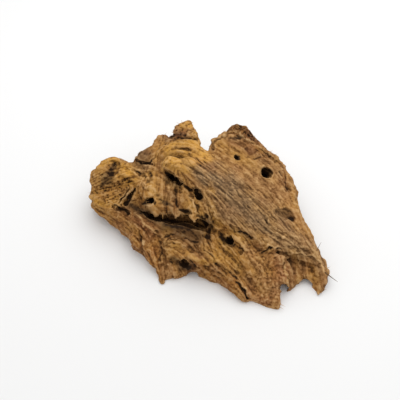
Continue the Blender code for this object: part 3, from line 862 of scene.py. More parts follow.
    # the dark of the marks that sink into cracks, slits, pits and holes is painted shade in them
    marks: dict[str, Mark] = field(default_factory=lambda: {
        "cup": Mark([(116, 165, 6), (112, 172, 11), (107, 180, 14), (104, 184, 9)],
            lift=-0.5, dark=0.5, grey=0.5),
        "cup_core": Mark([(103, 183, 5), (107, 184, 7), (111, 180, 5)], lift=-0.3, dark=0.2),
        "cup_pit": Mark([(112, 169, 4), (115, 173, 5), (110, 177, 5)], lift=-0.3, dark=0.15),
        "gold_limb": Mark([(95, 168, 8), (104, 161, 9), (114, 161, 7)], gold=0.3),
        "gold_lump": Mark([(121, 168, 6), (126, 166, 8), (130, 170, 5)], lift=0.6, gold=0.4),
        "limb_edge": Mark([(128, 168, 1.5), (134, 173, 2.2), (142, 180, 1.5)], lift=0.6, pale=0.5),
        # painted shade below the limb's ridge
        "limb_gap_shade": Mark([(136, 171, 2.5), (141, 174, 3.6), (145, 177, 2)], lift=-1.0, dark=0.6),
        "knot_dark": Mark([(148, 174, 4), (150, 178, 5), (147, 182, 4)], lift=-1.0, dark=0.5),
        "knot_lip": Mark([(144, 184, 2), (147, 188, 2.4), (152, 186, 2)], lift=0.5, pale=0.4),
        "knot_tooth": Mark([(144, 176, 1.2), (142, 181, 1.8), (141, 186, 1.2)], lift=0.6, pale=0.5),
        "sponge": Mark([(118, 186, 4), (126, 186, 7), (131, 182, 4)], lift=-0.6, dark=0.22, rust=0.3),
        "rust_line": Mark([(89, 194, 2), (100, 192, 2.6), (112, 188, 2)], lift=-0.5, rust=0.5, dark=0.25),
        "rust_line_back": Mark([(96, 187, 1.5), (108, 185, 2), (118, 181, 1.5)], lift=-0.4, dark=0.22),
        "gold_end": Mark([(90, 198, 6), (98, 201, 7), (106, 203, 5)], gold=0.5),
        "wedge": Mark([(135, 189, 1.5), (131, 196, 4.5), (126, 203, 5)], lift=-1.0, dark=0.8),
        "sliver": Mark([(134, 186, 1.6), (127, 194, 2.4), (119, 204, 1.8)], lift=1.0, pale=0.6),
        "sliver_line": Mark([(131, 187, 1), (124, 196, 1.6), (118, 203, 1)], lift=-0.8, dark=0.5),
        "sliver_back": Mark([(129, 187, 1.2), (122, 196, 1.8), (116, 203, 1.2)], lift=0.7, pale=0.4),
        "slit": Mark([(114, 206, 1.5), (121, 210, 2.4), (128, 214, 1.5)], lift=-1.2, dark=0.9),
        "slit_back": Mark([(120, 206, 1), (125, 209, 2.2), (129, 212, 1)], lift=-1.0, dark=0.8),
        "slit_pale": Mark([(110, 201, 1), (119, 208, 1.6), (126, 214, 1)], lift=0.6, pale=0.5),
        # painted shade in the saddle hollow
        "saddle": Mark([(143, 203, 3), (148, 201, 7), (152, 201, 7), (154, 204, 4)], lift=-0.8, dark=0.9),
        "saddle_grey": Mark([(145, 204, 2), (149, 205.5, 3), (152, 206, 2)], lift=0.6, grey=0.7, pale=0.35),
        # painted shade under the limb
        "under_limb_shade": Mark([(128, 201, 6), (138, 207, 10), (150, 211, 9)], dark=0.3),
        "top_crack": Mark([(135, 159, 1.2), (140, 162, 2), (146, 163, 1.4), (152, 162, 1.2)],
            lift=-1.2, dark=0.9),
        "top_crack_up": Mark([(152, 162, 1), (155, 160, 1.8), (157, 157, 1)], lift=-0.8, dark=0.6),
        "top_crack_down": Mark([(153, 162, 1), (154, 165, 1.8), (153, 168, 1)], lift=-0.6, dark=0.5),
        "facet_edge": Mark([(136, 157, 1.5), (141, 152, 2.4), (147, 150, 1.5)], lift=-0.4, dark=0.35),
        "crown_gold": Mark([(181, 125, 6), (187, 122, 7), (191, 127, 5)], gold=0.6, pale=0.1),
        "crown_dark": Mark([(174, 133, 5), (180, 133, 8), (187, 135, 4)], lift=-0.6, dark=0.3, rust=0.4),
        "crown_nick": Mark([(172, 131, 2), (174, 134, 3.4), (173, 137, 2)], lift=-1.0, dark=0.7),
        "crown_knob": Mark([(188, 132, 4), (192, 134, 5), (195, 135, 3)], lift=0.8, gold=0.3, pale=0.2),
        # painted shade in the line where the ridge in front hides the crown's foot
        "crown_line_shade": Mark([(176, 138, 1), (186, 137.5, 2), (197, 139, 1.6)], lift=-0.8, dark=0.9),
        "hook_gold": Mark([(164, 170, 4), (165, 163, 8), (170, 156, 10), (180, 154, 8), (190, 156, 4)],
            gold=1.0, pale=0.25),
        "second_gold": Mark([(166, 150, 5), (175, 143, 8), (190, 142, 8), (202, 147, 4)], gold=0.6),
        "ridge_pits": Mark([(175, 148, 1.4), (181, 149, 2.8), (188, 148, 1.6)], lift=-0.7, dark=0.45),
        "ridge_pit_right": Mark([(184, 152, 1), (188, 153, 1.8)], lift=-0.4, dark=0.3),
        "slit_1": Mark([(196, 157, 1), (200, 161, 1.8), (205, 166, 1)], lift=-0.8, dark=0.55),
        "slit_2": Mark([(197, 164, 2), (200, 166, 2.8), (202, 167, 2)], lift=-0.8, dark=0.55, rust=0.4),
        "slit_3": Mark([(204, 160, 1), (208, 164, 1.8), (211, 167, 1)], lift=-0.6, dark=0.5),
        "hook_grey": Mark([(182, 161, 6), (194, 170, 12), (206, 182, 10)], grey=0.45),
        "hook_line_1": Mark([(180, 163, 1), (192, 171, 1.6), (206, 185, 1)], lift=-0.4, dark=0.3),
        "hook_line_2": Mark([(184, 159, 1), (196, 167, 1.6), (210, 179, 1)], lift=-0.4, dark=0.3),
        # painted shade in the hollow under the hook ridge and along its edge
        "knob_hollow": Mark([(168, 172, 5), (171, 175, 8), (174, 178, 6)], lift=-1.2, dark=0.9),
        "knob_hollow_low": Mark([(174, 177, 5), (178, 180, 7), (182, 182, 4)], lift=-1.2, dark=0.9),
        "knob_soft_shade": Mark([(166, 178, 6), (172, 183, 11), (180, 186, 7)], dark=0.5),
        "knob_edge": Mark([(167, 169.5, 1), (173, 173, 1.8), (181, 178, 1.6), (185, 183, 1)],
            lift=0.6, pale=0.35),
        "knob_line_shade": Mark([(182, 184, 1.4), (188, 189, 2.2), (193, 192, 1.8)], lift=-0.9, dark=0.8),
        # painted shade inside the drop hole
        "drop_hole": Mark([(195, 188, 3), (198, 193, 7), (200, 197, 9), (201, 199, 7)],
            lift=-0.4, dark=1.0),
        "gap_1": Mark([(168, 190, 2), (168, 197, 5), (170, 206, 2)], lift=-0.3, dark=0.1),
        "gap_2": Mark([(175, 187, 2), (177, 196, 6), (178, 206, 2)], lift=-0.4, dark=0.2),
        "gap_3": Mark([(184, 192, 2), (185, 200, 4.5), (187, 207, 2)], lift=-0.3, dark=0.2),
        "gap_4": Mark([(190, 195, 1.5), (191, 202, 3), (193, 210, 1.5)], lift=-0.4, dark=0.3),
        "gap_5": Mark([(196, 203, 1.2), (199, 209, 2), (203, 216, 1.5)], lift=-0.6, dark=0.4),
        "skirt_spot": Mark([(162, 201, 3), (167, 203, 6), (172, 205, 3)], lift=-0.5, grey=0.6, dark=0.3),
        "skirt_tan": Mark([(150, 186, 7), (156, 193, 12), (160, 200, 7)], gold=0.3, pale=0.3),
        "skirt_orange": Mark([(155, 208, 7), (162, 211, 11), (170, 211, 8)], gold=0.2, rust=0.9, dark=0.22),
        # painted shade beside the skirt's middle column, over rust-brown wood
        "skirt_middle": Mark([(172, 190, 6), (176, 198, 10), (180, 206, 8)], dark=0.24, rust=0.25),
        # painted shade under the hump's corner
        "hump_under_shade": Mark([(205, 216, 6), (210, 221, 13), (211, 229, 9), (208, 237, 5)],
            lift=-0.4, dark=0.6),
        "tooth_ridge": Mark([(190, 196, 1.6), (194, 203, 2.8), (198, 212, 2)], lift=0.9, pale=0.3),
        "right_ridge_1": Mark([(203, 202, 1.6), (208, 211, 2.4), (212, 221, 1.6)], lift=0.8, pale=0.3),
        "right_ridge_2": Mark([(208, 201, 1.4), (214, 211, 2), (218, 221, 1.2)], lift=0.6, pale=0.25),
        "right_gap": Mark([(206, 203, 1), (211, 212, 1.8), (215, 222, 1)], lift=-0.5, dark=0.35),
        # painted shade under the skirt and its right corner
        "under_skirt_shade": Mark([(181, 210, 4), (187, 211, 6), (191, 213, 4)], lift=-1.0, dark=0.9),
        "under_corner_shade": Mark([(198, 214, 5), (202, 218, 7), (206, 222, 5)], lift=-0.8, dark=0.8),
        "lip_shadow": Mark([(126, 204, 4), (139, 212, 9), (155, 219, 13), (170, 226, 19), (184, 232, 24),
            (198, 236, 21)], dark=0.56),
        # painted shade in the core of the lip's shadow
        "lip_core_shade": Mark([(140, 212, 2), (152, 218, 6), (164, 222, 8), (178, 223, 10), (192, 226, 12),
            (204, 228, 8)], dark=0.55),
        "bed_ridge": Mark([(136, 214, 1.6), (141, 220, 3.6), (149, 229, 3), (158, 234, 2)],
            lift=0.7, gold=0.3, pale=0.35),
        "bed_ridge_low": Mark([(170, 240, 2), (180, 244, 4), (192, 252, 3)], lift=0.4, pale=0.12),
        "orange_lump": Mark([(132, 237, 6), (135, 242, 9), (138, 247, 6)], lift=0.8, gold=0.5, rust=0.8),
        "pale_spot": Mark([(142, 241, 2), (144, 244, 2.8), (143, 246, 2)], lift=0.4, pale=0.8),
        "lump_gap": Mark([(139, 230, 1.5), (140, 238, 2.6), (142, 247, 1.5)], lift=-0.7, dark=0.4),
        "bed_brown": Mark([(100, 207, 4), (106, 212, 7), (112, 216, 3)], dark=0.2, rust=0.2),
        "bed_pale": Mark([(113, 206, 1.4), (117, 213, 2.2), (118, 218, 1.4)], lift=0.4, pale=0.4),
        "foot_crack": Mark([(156, 234, 1.5), (161, 245, 3), (160, 257, 2.4), (158, 268, 1.5)],
            lift=-0.6, dark=0.3, rust=0.3),
        "fan_1": Mark([(162, 240, 1), (168, 236, 2), (175, 234, 1)], lift=-0.6, dark=0.45),
        "fan_2": Mark([(163, 244, 1), (170, 239, 2), (178, 239, 1)], lift=-0.6, dark=0.45),
        "fan_3": Mark([(163, 248, 1), (169, 243, 1.8), (176, 243, 1)], lift=-0.5, dark=0.35),
        "fan_light": Mark([(160, 262, 3), (165, 252, 6), (172, 247, 5)], lift=0.3, gold=0.2, pale=0.2),
        "bed_plate": Mark([(168, 247, 7), (180, 247, 11), (192, 254, 8)], rust=0.25, dark=0.12),
        # painted shade in the recess and its hole
        "recess": Mark([(173, 260, 8), (182, 264, 16), (191, 268, 10)], lift=-0.6, dark=0.7, rust=0.3),
        "recess_hole_shade": Mark([(180, 263, 5), (184, 265, 9), (187, 268, 6)], lift=-0.8, dark=0.7),
        "recess_pin": Mark([(171, 262.5, 2), (172, 264, 2)], lift=-0.6, dark=0.6),
        "crumbs": Mark([(190, 257, 3), (198, 260, 6), (206, 263, 3)], lift=0.5, gold=0.5),
        "crumb_gap": Mark([(189, 260, 1.5), (193, 265, 3), (198, 268, 2)], lift=-0.8, dark=0.5),
        "ledge_line": Mark([(184, 240, 1), (190, 242, 1.8), (197, 243, 1)], lift=-0.6, dark=0.5),
        "ledge_line_low": Mark([(194, 243, 1), (198, 250, 2), (203, 258, 1)], lift=-0.5, dark=0.3),
        "front_crack": Mark([(206, 250, 1), (214, 262, 1.8), (224, 270, 2.2), (230, 273, 2)],
            lift=-0.7, dark=0.5),
        "crack_pit": Mark([(229, 271, 3), (232, 274, 5), (236, 278, 3)], lift=-0.8, dark=0.5),
        "front_crack_low": Mark([(235, 281, 1.6), (241, 288, 3.4), (248, 299, 2.4)], lift=-1.2, dark=0.95),
        "crack_edge": Mark([(238, 280, 1), (244, 288, 1.8), (250, 298, 1.4)], lift=0.7, pale=0.35),
        "plate_line_1": Mark([(207, 232, 1), (211, 246, 1.8), (221, 257, 1.8), (237, 270, 1)],
            lift=-0.5, dark=0.38),
        "plate_line_2": Mark([(203, 236, 1), (206, 250, 1.8), (216, 262, 1.8), (228, 270, 1)],
            lift=-0.5, dark=0.38),
        "plate_line_3": Mark([(211, 228, 1), (214, 240, 1.6), (222, 250, 1.6)], lift=-0.4, dark=0.28),
        "plate_gold": Mark([(220, 240, 7), (229, 254, 13), (238, 268, 8)], gold=0.4, pale=0.3),
        # painted shade in the dish and its hole
        "dish": Mark([(221, 233, 7), (228, 240, 14), (236, 247, 8)], lift=-0.5, dark=0.3),
        "dish_hole": Mark([(224, 236, 8), (228, 240, 12), (232, 243, 8)], lift=-1.2, dark=0.8, sharp=1.3),
        "tongue": Mark([(226, 231, 2), (236, 236, 4), (243, 243, 4), (246, 250, 2)],
            lift=0.4, gold=0.2, pale=0.25),
        "tongue_line": Mark([(236, 241, 1), (241, 247, 2), (246, 253, 1)], lift=-0.7, dark=0.55),
        "rim_shadow": Mark([(230, 226, 1.4), (240, 231, 3), (251, 238, 1.6)], lift=-0.8, dark=0.55),
        # painted shade under the rim
        "rim_soft_shade": Mark([(232, 229, 4), (242, 234, 7), (252, 240, 4)], dark=0.2),
        "rim_pit_1": Mark([(263, 251, 2.4), (266, 250, 3.2), (268, 247, 2)], lift=-1.0, dark=0.9),
        "rim_pit_2": Mark([(268, 246, 2), (271, 247, 3)], lift=-1.0, dark=0.9),
        "rim_pit_3": Mark([(277, 249, 2), (280, 248, 2.8), (283, 249, 1.6)], lift=-1.0, dark=0.85),
        "rim_edge": Mark([(262, 245, 1.2), (267, 243, 1.8), (272, 246, 1.8), (275, 249, 1.6),
            (279, 246, 1.6), (290, 248, 1.2)], lift=0.6, pale=0.4),
        # painted shade under the rim's edge
        "rim_under_shade": Mark([(262, 253, 2), (274, 253, 3.4), (290, 255, 2)], dark=0.3),
        "scoop_rim": Mark([(286, 254, 1.6), (300, 252.5, 2.6), (311, 256, 2.6), (319, 263, 2.2),
            (323, 272, 1.6)], lift=0.7, gold=0.2, pale=0.55),
        # painted shade under the scoop's rim
        "scoop_top_shade": Mark([(289, 257, 3.5), (300, 255.5, 4), (310, 259, 4.5), (317, 266, 3.4),
            (321, 274, 2)], dark=0.28),
        "scoop_fold": Mark([(296, 256, 1.2), (298, 262, 2), (300, 268, 1.2)], lift=0.5, pale=0.35),
        "rib": Mark([(283, 262, 2.4), (287, 274, 4), (291, 285, 3)], lift=0.8, gold=0.7, pale=0.4),
        "pale_fleck_1": Mark([(271, 232, 2), (273, 233, 2)], lift=0.3, pale=0.5),
        "pale_fleck_2": Mark([(282, 235, 2.6), (284, 236, 2.6)], lift=0.4, pale=1.0),
        "curl_1": Mark([(266, 215, 1), (268, 223, 1.6), (275, 229, 1.6), (285, 232, 1)],
            lift=0.5, pale=0.4),
        "curl_2": Mark([(278, 214, 1), (284, 221, 1.6), (293, 222, 1)], lift=0.5, pale=0.35),
        "curl_gap": Mark([(270, 212, 1), (275, 219, 1.8), (285, 225, 1)], lift=-0.6, dark=0.35, rust=0.3),
        "wing_pin": Mark([(235, 156, 2.6), (238, 158, 3)], lift=-1.0, dark=0.9),
        "shelf_rim": Mark([(221, 137, 1.4), (226, 132.5, 2.6), (232, 131, 2.6), (238, 134, 2.6),
            (243, 139.5, 2.6), (250, 142, 2.6), (258, 145, 2.2), (267, 153, 2), (278, 160, 1.4)],
            lift=0.9, gold=0.3, pale=0.5),
        "shelf_notch": Mark([(232, 137, 3), (237, 138, 5), (241, 139, 3)], lift=-0.9, dark=0.7),
        "shelf_patch": Mark([(246, 149, 3), (251, 151, 5.5), (256, 152, 3)],
            lift=-0.6, dark=0.28, rust=0.5),
        "shelf_pit": Mark([(254, 158, 2.4), (258, 158, 3)], lift=-0.7, dark=0.5, rust=0.4),
        "cliff": Mark([(213, 149, 3), (212, 144, 5), (215, 139, 4), (221, 137, 3)],
            lift=-0.9, dark=0.5, rust=0.3),
        "shelf_crack_1": Mark([(258, 148, 1), (266, 154, 2), (274, 158, 1)], lift=-0.7, dark=0.5),
        "shelf_crack_2": Mark([(264, 146, 1), (271, 152, 2), (277, 156, 1)], lift=-0.6, dark=0.4),
        "shelf_dark": Mark([(223, 132, 4), (230, 127, 7), (238, 126, 9), (246, 131, 9), (260, 140, 6)],
            lift=-0.3, rust=0.5, dark=0.27),
        "hole_wall": Mark([(268, 176, 4), (271, 178, 6)], rust=0.5),
        # painted shade inside the wing hole
        "wing_hole": Mark([(264, 171, 9), (267, 173, 12)], dark=0.85),
        "wing_groove": Mark([(281, 170, 1.8), (284, 176, 2.8), (284, 183, 2.8), (287, 190, 1.8)],
            lift=-0.8, rust=0.6, dark=0.3),
        # painted shade in the dimple, over rust-brown wood
        "dimple": Mark([(278, 211, 8), (285, 215, 15), (291, 218, 9)], lift=-0.8, dark=0.62, rust=0.3),
        "dimple_left": Mark([(273, 211, 2), (276, 216, 3.4), (280, 221, 2)], lift=-0.5, dark=0.3, rust=0.4),
        "dimple_top": Mark([(277, 208, 2), (284, 209, 3.4), (291, 213, 2)], lift=-0.4, dark=0.35),
        "hump_split": Mark([(236, 191, 1), (240, 195, 2), (244, 198, 1)], lift=-0.7, dark=0.7),
        "hump_split_low": Mark([(258, 209, 1), (263, 216, 2), (268, 224, 1)], lift=-0.7, dark=0.6),
        "hump_gold": Mark([(210, 185, 3), (213, 191, 6), (217, 196, 3)], lift=0.3, gold=0.8),
        "hump_grey": Mark([(212, 175, 12), (226, 186, 26), (246, 206, 30), (262, 226, 20)], grey=0.45),
        "tail_grey": Mark([(265, 230, 10), (286, 243, 12), (304, 252, 8)], grey=0.3, pale=0.12),
    })

    def __post_init__(self) -> None:
        """Lays out the grid."""
        self.rows = int(self.tall * self.cells)
        self.columns = int(self.wide * self.cells)
        self.across = self.left + (np.arange(self.columns) + 0.5) / self.cells
        self.down = self.top + (np.arange(self.rows) + 0.5) / self.cells
        self.places = np.meshgrid(self.across, self.down)
        bend = (self.speckle(20, 1.1) * 0.55 + self.speckle(21, 3.0) * 0.8,
                self.speckle(22, 1.1) * 0.55 + self.speckle(23, 3.0) * 0.8)
        self.bent = [flat + wave for flat, wave in zip(self.places, bend)]

    def blurred(self, values: np.ndarray, width: float) -> np.ndarray:
        """Values evened out over the grid.

        Args:
            values: The values.
            width: How far they are evened out, in units of the view.

        Returns:
            The smoother values.
        """
        spread = width * self.cells
        along = np.exp(-2 * (math.pi * spread * np.fft.fftfreq(self.rows)) ** 2)
        over = np.exp(-2 * (math.pi * spread * np.fft.rfftfreq(self.columns)) ** 2)
        return np.fft.irfft2(np.fft.rfft2(values) * along[:, None] * over, s=values.shape)

    def speckle(self, key: int, width: float) -> np.ndarray:
        """Even random noise of a width, around 0 and with a spread of 1."""
        values = np.random.default_rng(self.seed + key).standard_normal((self.rows, self.columns))
        values = self.blurred(values, width)
        return (values - values.mean()) / values.std()

    def area(self, outline: list[Place], soft: float = 2.0) -> np.ndarray:
        """1 inside an outline and 0 outside, with a soft edge.

        Args:
            outline: The outline as seen.
            soft: How wide its edge is.

        Returns:
            The area on the grid.
        """
        across, down = self.places
        inside = np.zeros(across.shape, dtype=bool)
        for (u0, v0), (u1, v1) in zip(outline, outline[1:] + outline[:1]):
            if v0 == v1:
                continue
            crosses = (down > min(v0, v1)) & (down <= max(v0, v1))
            inside ^= crosses & (across < u0 + (down - v0) * (u1 - u0) / (v1 - v0))
        return np.clip(self.blurred(inside.astype(float), soft), 0, 1)

    def strokes(self, paths: list[list[Triple]], sharp: float = 2.0) -> np.ndarray:
        """1 along the middle of strokes, falling to 0 at half their width.

        Args:
            paths: The places of each, with the stroke's width there.
            sharp: 1 for a V, and more for a rounder profile.

        Returns:
            The strokes on the grid.
        """
        drawn = np.zeros((self.rows, self.columns))
        across, down = self.bent
        for (u0, v0, w0), (u1, v1, w1) in (pair for path in paths for pair in zip(path, path[1:])):
            reach = max(w0, w1) / 2 + 3
            columns = slice(*np.searchsorted(self.across, (min(u0, u1) - reach, max(u0, u1) + reach)))
            rows = slice(*np.searchsorted(self.down, (min(v0, v1) - reach, max(v0, v1) + reach)))
            du, dv = across[rows, columns] - u0, down[rows, columns] - v0
            length = max((u1 - u0) ** 2 + (v1 - v0) ** 2, 1e-6)
            share = np.clip((du * (u1 - u0) + dv * (v1 - v0)) / length, 0, 1)
            far = np.hypot(du - share * (u1 - u0), dv - share * (v1 - v0))
            half = (w0 + (w1 - w0) * share) / 2
            profile = 1 - np.clip(far / half, 0, 1) ** sharp
            drawn[rows, columns] = np.maximum(drawn[rows, columns], profile)
        return drawn

    def flow(self) -> tuple[np.ndarray, np.ndarray]:
        """The way the grain runs over the grid, as its parts across and down.

        Returns:
            The two parts on the grid.
        """
        across = np.arange(self.left, self.left + self.wide + self.coarse, self.coarse)
        down = np.arange(self.top, self.top + self.tall + self.coarse, self.coarse)
        u, v = np.meshgrid(across, down)
        double = np.zeros(u.shape, dtype=complex)
        for line in self.grain.values():
            for (u0, v0), (u1, v1) in zip(line, line[1:]):
                length = (u1 - u0) ** 2 + (v1 - v0) ** 2
                share = np.clip(((u - u0) * (u1 - u0) + (v - v0) * (v1 - v0)) / length, 0, 1)
                far = (u - u0 - share * (u1 - u0)) ** 2 + (v - v0 - share * (v1 - v0)) ** 2
                double += np.exp(2j * math.atan2(v1 - v0, u1 - u0)) / (far + 9) ** 1.6
        double /= np.abs(double)
        rows = (self.down - self.top) / self.coarse
        columns = (self.across - self.left) / self.coarse
        fine = between_cells(double, *np.meshgrid(rows, columns, indexing="ij"))
        turn = np.angle(fine) / 2
        return np.cos(turn), np.sin(turn)

    def streaks(self, key: int, width: float, length: float) -> np.ndarray:
        """Noise drawn out along the grain, around 0 and with a spread of 1.

        Args:
            key: Picks the noise.
            width: How wide a streak is.
            length: How long it is.

        Returns:
            The streaks on the grid.
        """
        seeds = self.speckle(key, width)
        rows, columns = np.meshgrid(np.arange(self.rows), np.arange(self.columns), indexing="ij")
        total = seeds.copy()
        for way in (1.0, -1.0):
            row, column = rows.astype(float), columns.astype(float)
            side, drop = self.flow_across * way, self.flow_down * way
            for _ in range(int(length * self.cells / 2 / self.stride)):
                column = np.clip(column + side * self.stride, 0, self.columns - 1)
                row = np.clip(row + drop * self.stride, 0, self.rows - 1)
                at = (np.rint(row).astype(int), np.rint(column).astype(int))
                next_side, next_drop = self.flow_across[at], self.flow_down[at]
                turned = np.where(next_side * side + next_drop * drop < 0, -1.0, 1.0)
                side, drop = next_side * turned, next_drop * turned
                total += seeds[at]
        return (total - total.mean()) / total.std()

    def sampled(self, table: np.ndarray, places: np.ndarray) -> np.ndarray:
        """A table read at places in the view.

        Args:
            table: A table on the grid.
            places: The places, one a row.

        Returns:
            One value a place.
        """
        column = np.clip((places[:, 0] - self.left) * self.cells - 0.5, 0, self.columns - 1.001)
        row = np.clip((places[:, 1] - self.top) * self.cells - 0.5, 0, self.rows - 1.001)
        return between_cells(table, row, column)

    def draw(self) -> None:
        """Works out the grain, the relief in millimetres and the tones, with painted shade in pits, splits
        and cracks.
        """
        self.flow_across, self.flow_down = self.flow()
        fine = self.streaks(1, 0.35, 16)
        middle = self.streaks(2, 0.8, 26)
        wide = self.streaks(3, 1.8, 34)
        bundles = self.streaks(4, 3.2, 44)
        splits = smooth_step(-middle, 0.9, 1.9)
        cracks = smooth_step(-wide - 0.4 * middle, 1.3, 2.2) * smooth_step(self.speckle(5, 7.0), -0.8, 0.6)
        pits = smooth_step(self.speckle(6, 0.6), 0.4, 1.4)
        lumps = 0.5 * self.speckle(7, 3.0) + 0.6 * self.speckle(8, 6.0) + 0.25 * self.speckle(9, 1.2)
        steps = self.speckle(10, 2.6) * 2.2
        flakes = np.floor(steps) + smooth_step(steps - np.floor(steps), 0.0, 0.25) - steps
        total = np.full((self.rows, self.columns), 0.05)
        names = self.rough_of + self.tones_of
        blend = {name: total * getattr(Region([]), name) for name in names}
        for region in self.regions.values():
            mask = self.area(region.outline, 2.5)
            total = total + mask
            for name in names:
                blend[name] = blend[name] + mask * getattr(region, name)
        blend = {name: values / total for name, values in blend.items()}
        grit = 0.6 * self.speckle(14, 0.7) + 0.4 * self.speckle(15, 1.4)
        self.height = blend["fibre"] * (0.13 * fine + 0.13 * middle + 0.08 * wide + 0.16 * bundles
                                        - 0.09 * splits - 0.14 * cracks)
        self.height += blend["lump"] * 0.40 * lumps - blend["pits"] * 0.9 * pits
        self.height += blend["flakes"] * 0.6 * flakes + blend["grit"] * 0.16 * grit
        self.tones = {name: blend[name] for name in self.tones_of}
        # painted shade in pits, splits and cracks
        self.tones["dark"] = self.tones["dark"] + 0.30 * blend["pits"] * pits
        self.tones["dark"] += blend["fibre"] * (0.08 * splits + 0.06 * cracks)
        self.tones["fibre"] = (0.50 + 0.05 * wide + 0.10 * self.speckle(13, 0.5) + blend["grit"] * 0.10 * grit
                               + (0.5 + 0.5 * blend["fibre"]) * (0.15 * fine + 0.09 * middle))
        self.tones["gold"] = self.tones["gold"] + 0.12 * bundles + 0.10 * self.speckle(11, 4.0)
        self.tones["rust"] = self.tones["rust"] + 0.10 * wide + 0.12 * self.speckle(12, 5.0)
        for mark in self.marks.values():
            drawn = self.blurred(self.strokes([mark.path], mark.sharp), 0.35)
            self.height += mark.lift * drawn
            for name in self.tones_of:
                if getattr(mark, name):
                    self.tones[name] = self.tones[name] + getattr(mark, name) * drawn
        self.lay_threads(blend["fibre"])

    def lay_threads(self, amount: np.ndarray) -> None:
        """Lays short loose fibres nearly along the grain, half of them raised and painted lighter, and half
        torn out with painted shade.

        Args:
            amount: How many there are over the grid, from 0 to about 1.
        """
        chance = np.random.default_rng(self.seed + 60)
        laid = {1: [], -1: []}
        for index in range(self.threads):
            row, column = chance.integers(self.rows), chance.integers(self.columns)
            if chance.random() > amount[row, column]:
                continue
            turn = math.atan2(self.flow_down[row, column], self.flow_across[row, column])
            turn += chance.normal(0, 0.14)
            length, bend, width = chance.uniform(3, 9), chance.normal(0, 0.18), chance.uniform(0.7, 1.3)
            u, v = self.across[column], self.down[row]
            path = [(u, v, 0.5)]
            for wide in (width, 0.5):
                turn += bend
                u, v = u + math.cos(turn) * length / 2, v + math.sin(turn) * length / 2
                path.append((u, v, wide))
            laid[1 if index % 2 else -1].append(path)
        raised, torn = (self.blurred(self.strokes(laid[side]), 0.25) for side in (1, -1))
        self.height += 0.32 * raised - 0.26 * torn
        self.tones["pale"] = self.tones["pale"] + 0.28 * raised
        # painted shade in the torn fibres
        self.tones["dark"] = self.tones["dark"] + 0.15 * torn


@dataclass
class Relief:
    """The fine relief and weathering of the skin, and how closed in and hollow its points are, for the
    painted shade.
    """

    surface: SurfaceMap
    rear_depth: float = 0.45
    shade_reach: float = 13.0
    shade_rays: int = 10

    def view_share(self, piece: Piece) -> np.ndarray:
        """How far each point is open to the reference view, from 0 to 1.

        Args:
            piece: The piece, in millimetres.

        Returns:
            One value a point.
        """
        points, normals = points_of(piece), normals_of(piece)
        toward = VIEW.toward(points)
        facing = smooth_step((normals * toward).sum(axis=1), 0.02, 0.30)
        tree = skin_of(piece)
        starts = points + normals * 0.5 + toward * 0.8
        for index in np.nonzero(facing > 0)[0]:
            if tree.ray_cast(Vector(starts[index]), Vector(toward[index]))[0] is not None:
                facing[index] = 0.0
        return spread_over(edges_of(piece), facing, 3)

    def carve(self, piece: Piece) -> None:
        """Raises and sinks the skin by the relief: the drawn one in front, and drawn-out grain behind.

        Args:
            piece: The piece, in millimetres.
        """
        points = points_of(piece)
        share = self.view_share(piece)
        places = VIEW.project(points)
        front = self.surface.sampled(self.surface.height, places)
        rear = self.rear_grain(piece) * self.rear_depth
        edges = edges_of(piece)
        normals = spread_over(edges, normals_of(piece), 4)
        normals /= np.linalg.norm(normals, axis=1)[:, None]
        move_points(piece, points + normals * (front * share + rear * (1 - share))[:, None])

    def rear_grain(self, piece: Piece) -> np.ndarray:
        """Grain that follows the skin where the reference view doesn't reach, around 0.

        Args:
            piece: The piece.

        Returns:
            One value a point: fine and broad fibres with torn splits between them.
        """
        chance = np.random.default_rng(self.surface.seed + 90)
        fine, broad = (chance.normal(size=len(piece.data.vertices)) for _ in range(2))
        fine = drawn_out(piece, fine, 40)
        broad = drawn_out(piece, spread_over(edges_of(piece), broad, 4), 90)
        return 0.45 * fine + 0.6 * broad - 1.2 * smooth_step(-broad, 1.0, 2.2)

    def shade(self, piece: Piece) -> np.ndarray:
        """How closed in each point is, from 0 in the open to 1 deep in a hollow, which sets the painted
        shade.

        Args:
            piece: The piece, in millimetres.

        Returns:
            One value a point.
        """
        tree = skin_of(piece)
        points, normals = points_of(piece), normals_of(piece)
        spin = math.pi * (3 - math.sqrt(5))
        rays = []
        for index in range(self.shade_rays):
            rise = math.sqrt((index + 0.5) / self.shade_rays)
            reach = math.sqrt(1 - rise * rise)
            rays.append((math.cos(spin * index) * reach, math.sin(spin * index) * reach, rise))
        sides = np.cross(normals, (0.31, 0.83, 0.47))
        sides /= np.linalg.norm(sides, axis=1)[:, None]
        ups = np.cross(normals, sides)
        closed = np.zeros(len(points))
        starts = points + normals * 0.25
        for a, b, c in rays:
            ways = sides * a + ups * b + normals * c
            for index, (start, way) in enumerate(zip(starts, ways)):
                far = tree.ray_cast(Vector(start), Vector(way), self.shade_reach)[3]
                if far is not None:
                    closed[index] += 1 - far / self.shade_reach * 0.6
        return closed / len(rays)

    def hollow(self, piece: Piece, rounds: int) -> np.ndarray:
        """How far each point lies below the skin around it, in millimetres."""
        points, normals = points_of(piece), normals_of(piece)
        even = spread_over(edges_of(piece), points, rounds)
        return ((even - points) * normals).sum(axis=1)


@dataclass(frozen=True)
class Fit:
    """The move from the shaped wood, in millimetres, to the frame, in metres."""

    scale: Triple = (1.0037, 1.0014, 1.0)
    shift: Triple = (1.6, -9.2, 0.0)

    @property
    def matrix(self) -> Matrix:
        """The move as a matrix."""
        return (Matrix.Scale(MM, 4) @ Matrix.Translation(self.shift)
                @ Matrix.Diagonal((*self.scale, 1.0)))


FIT = Fit()


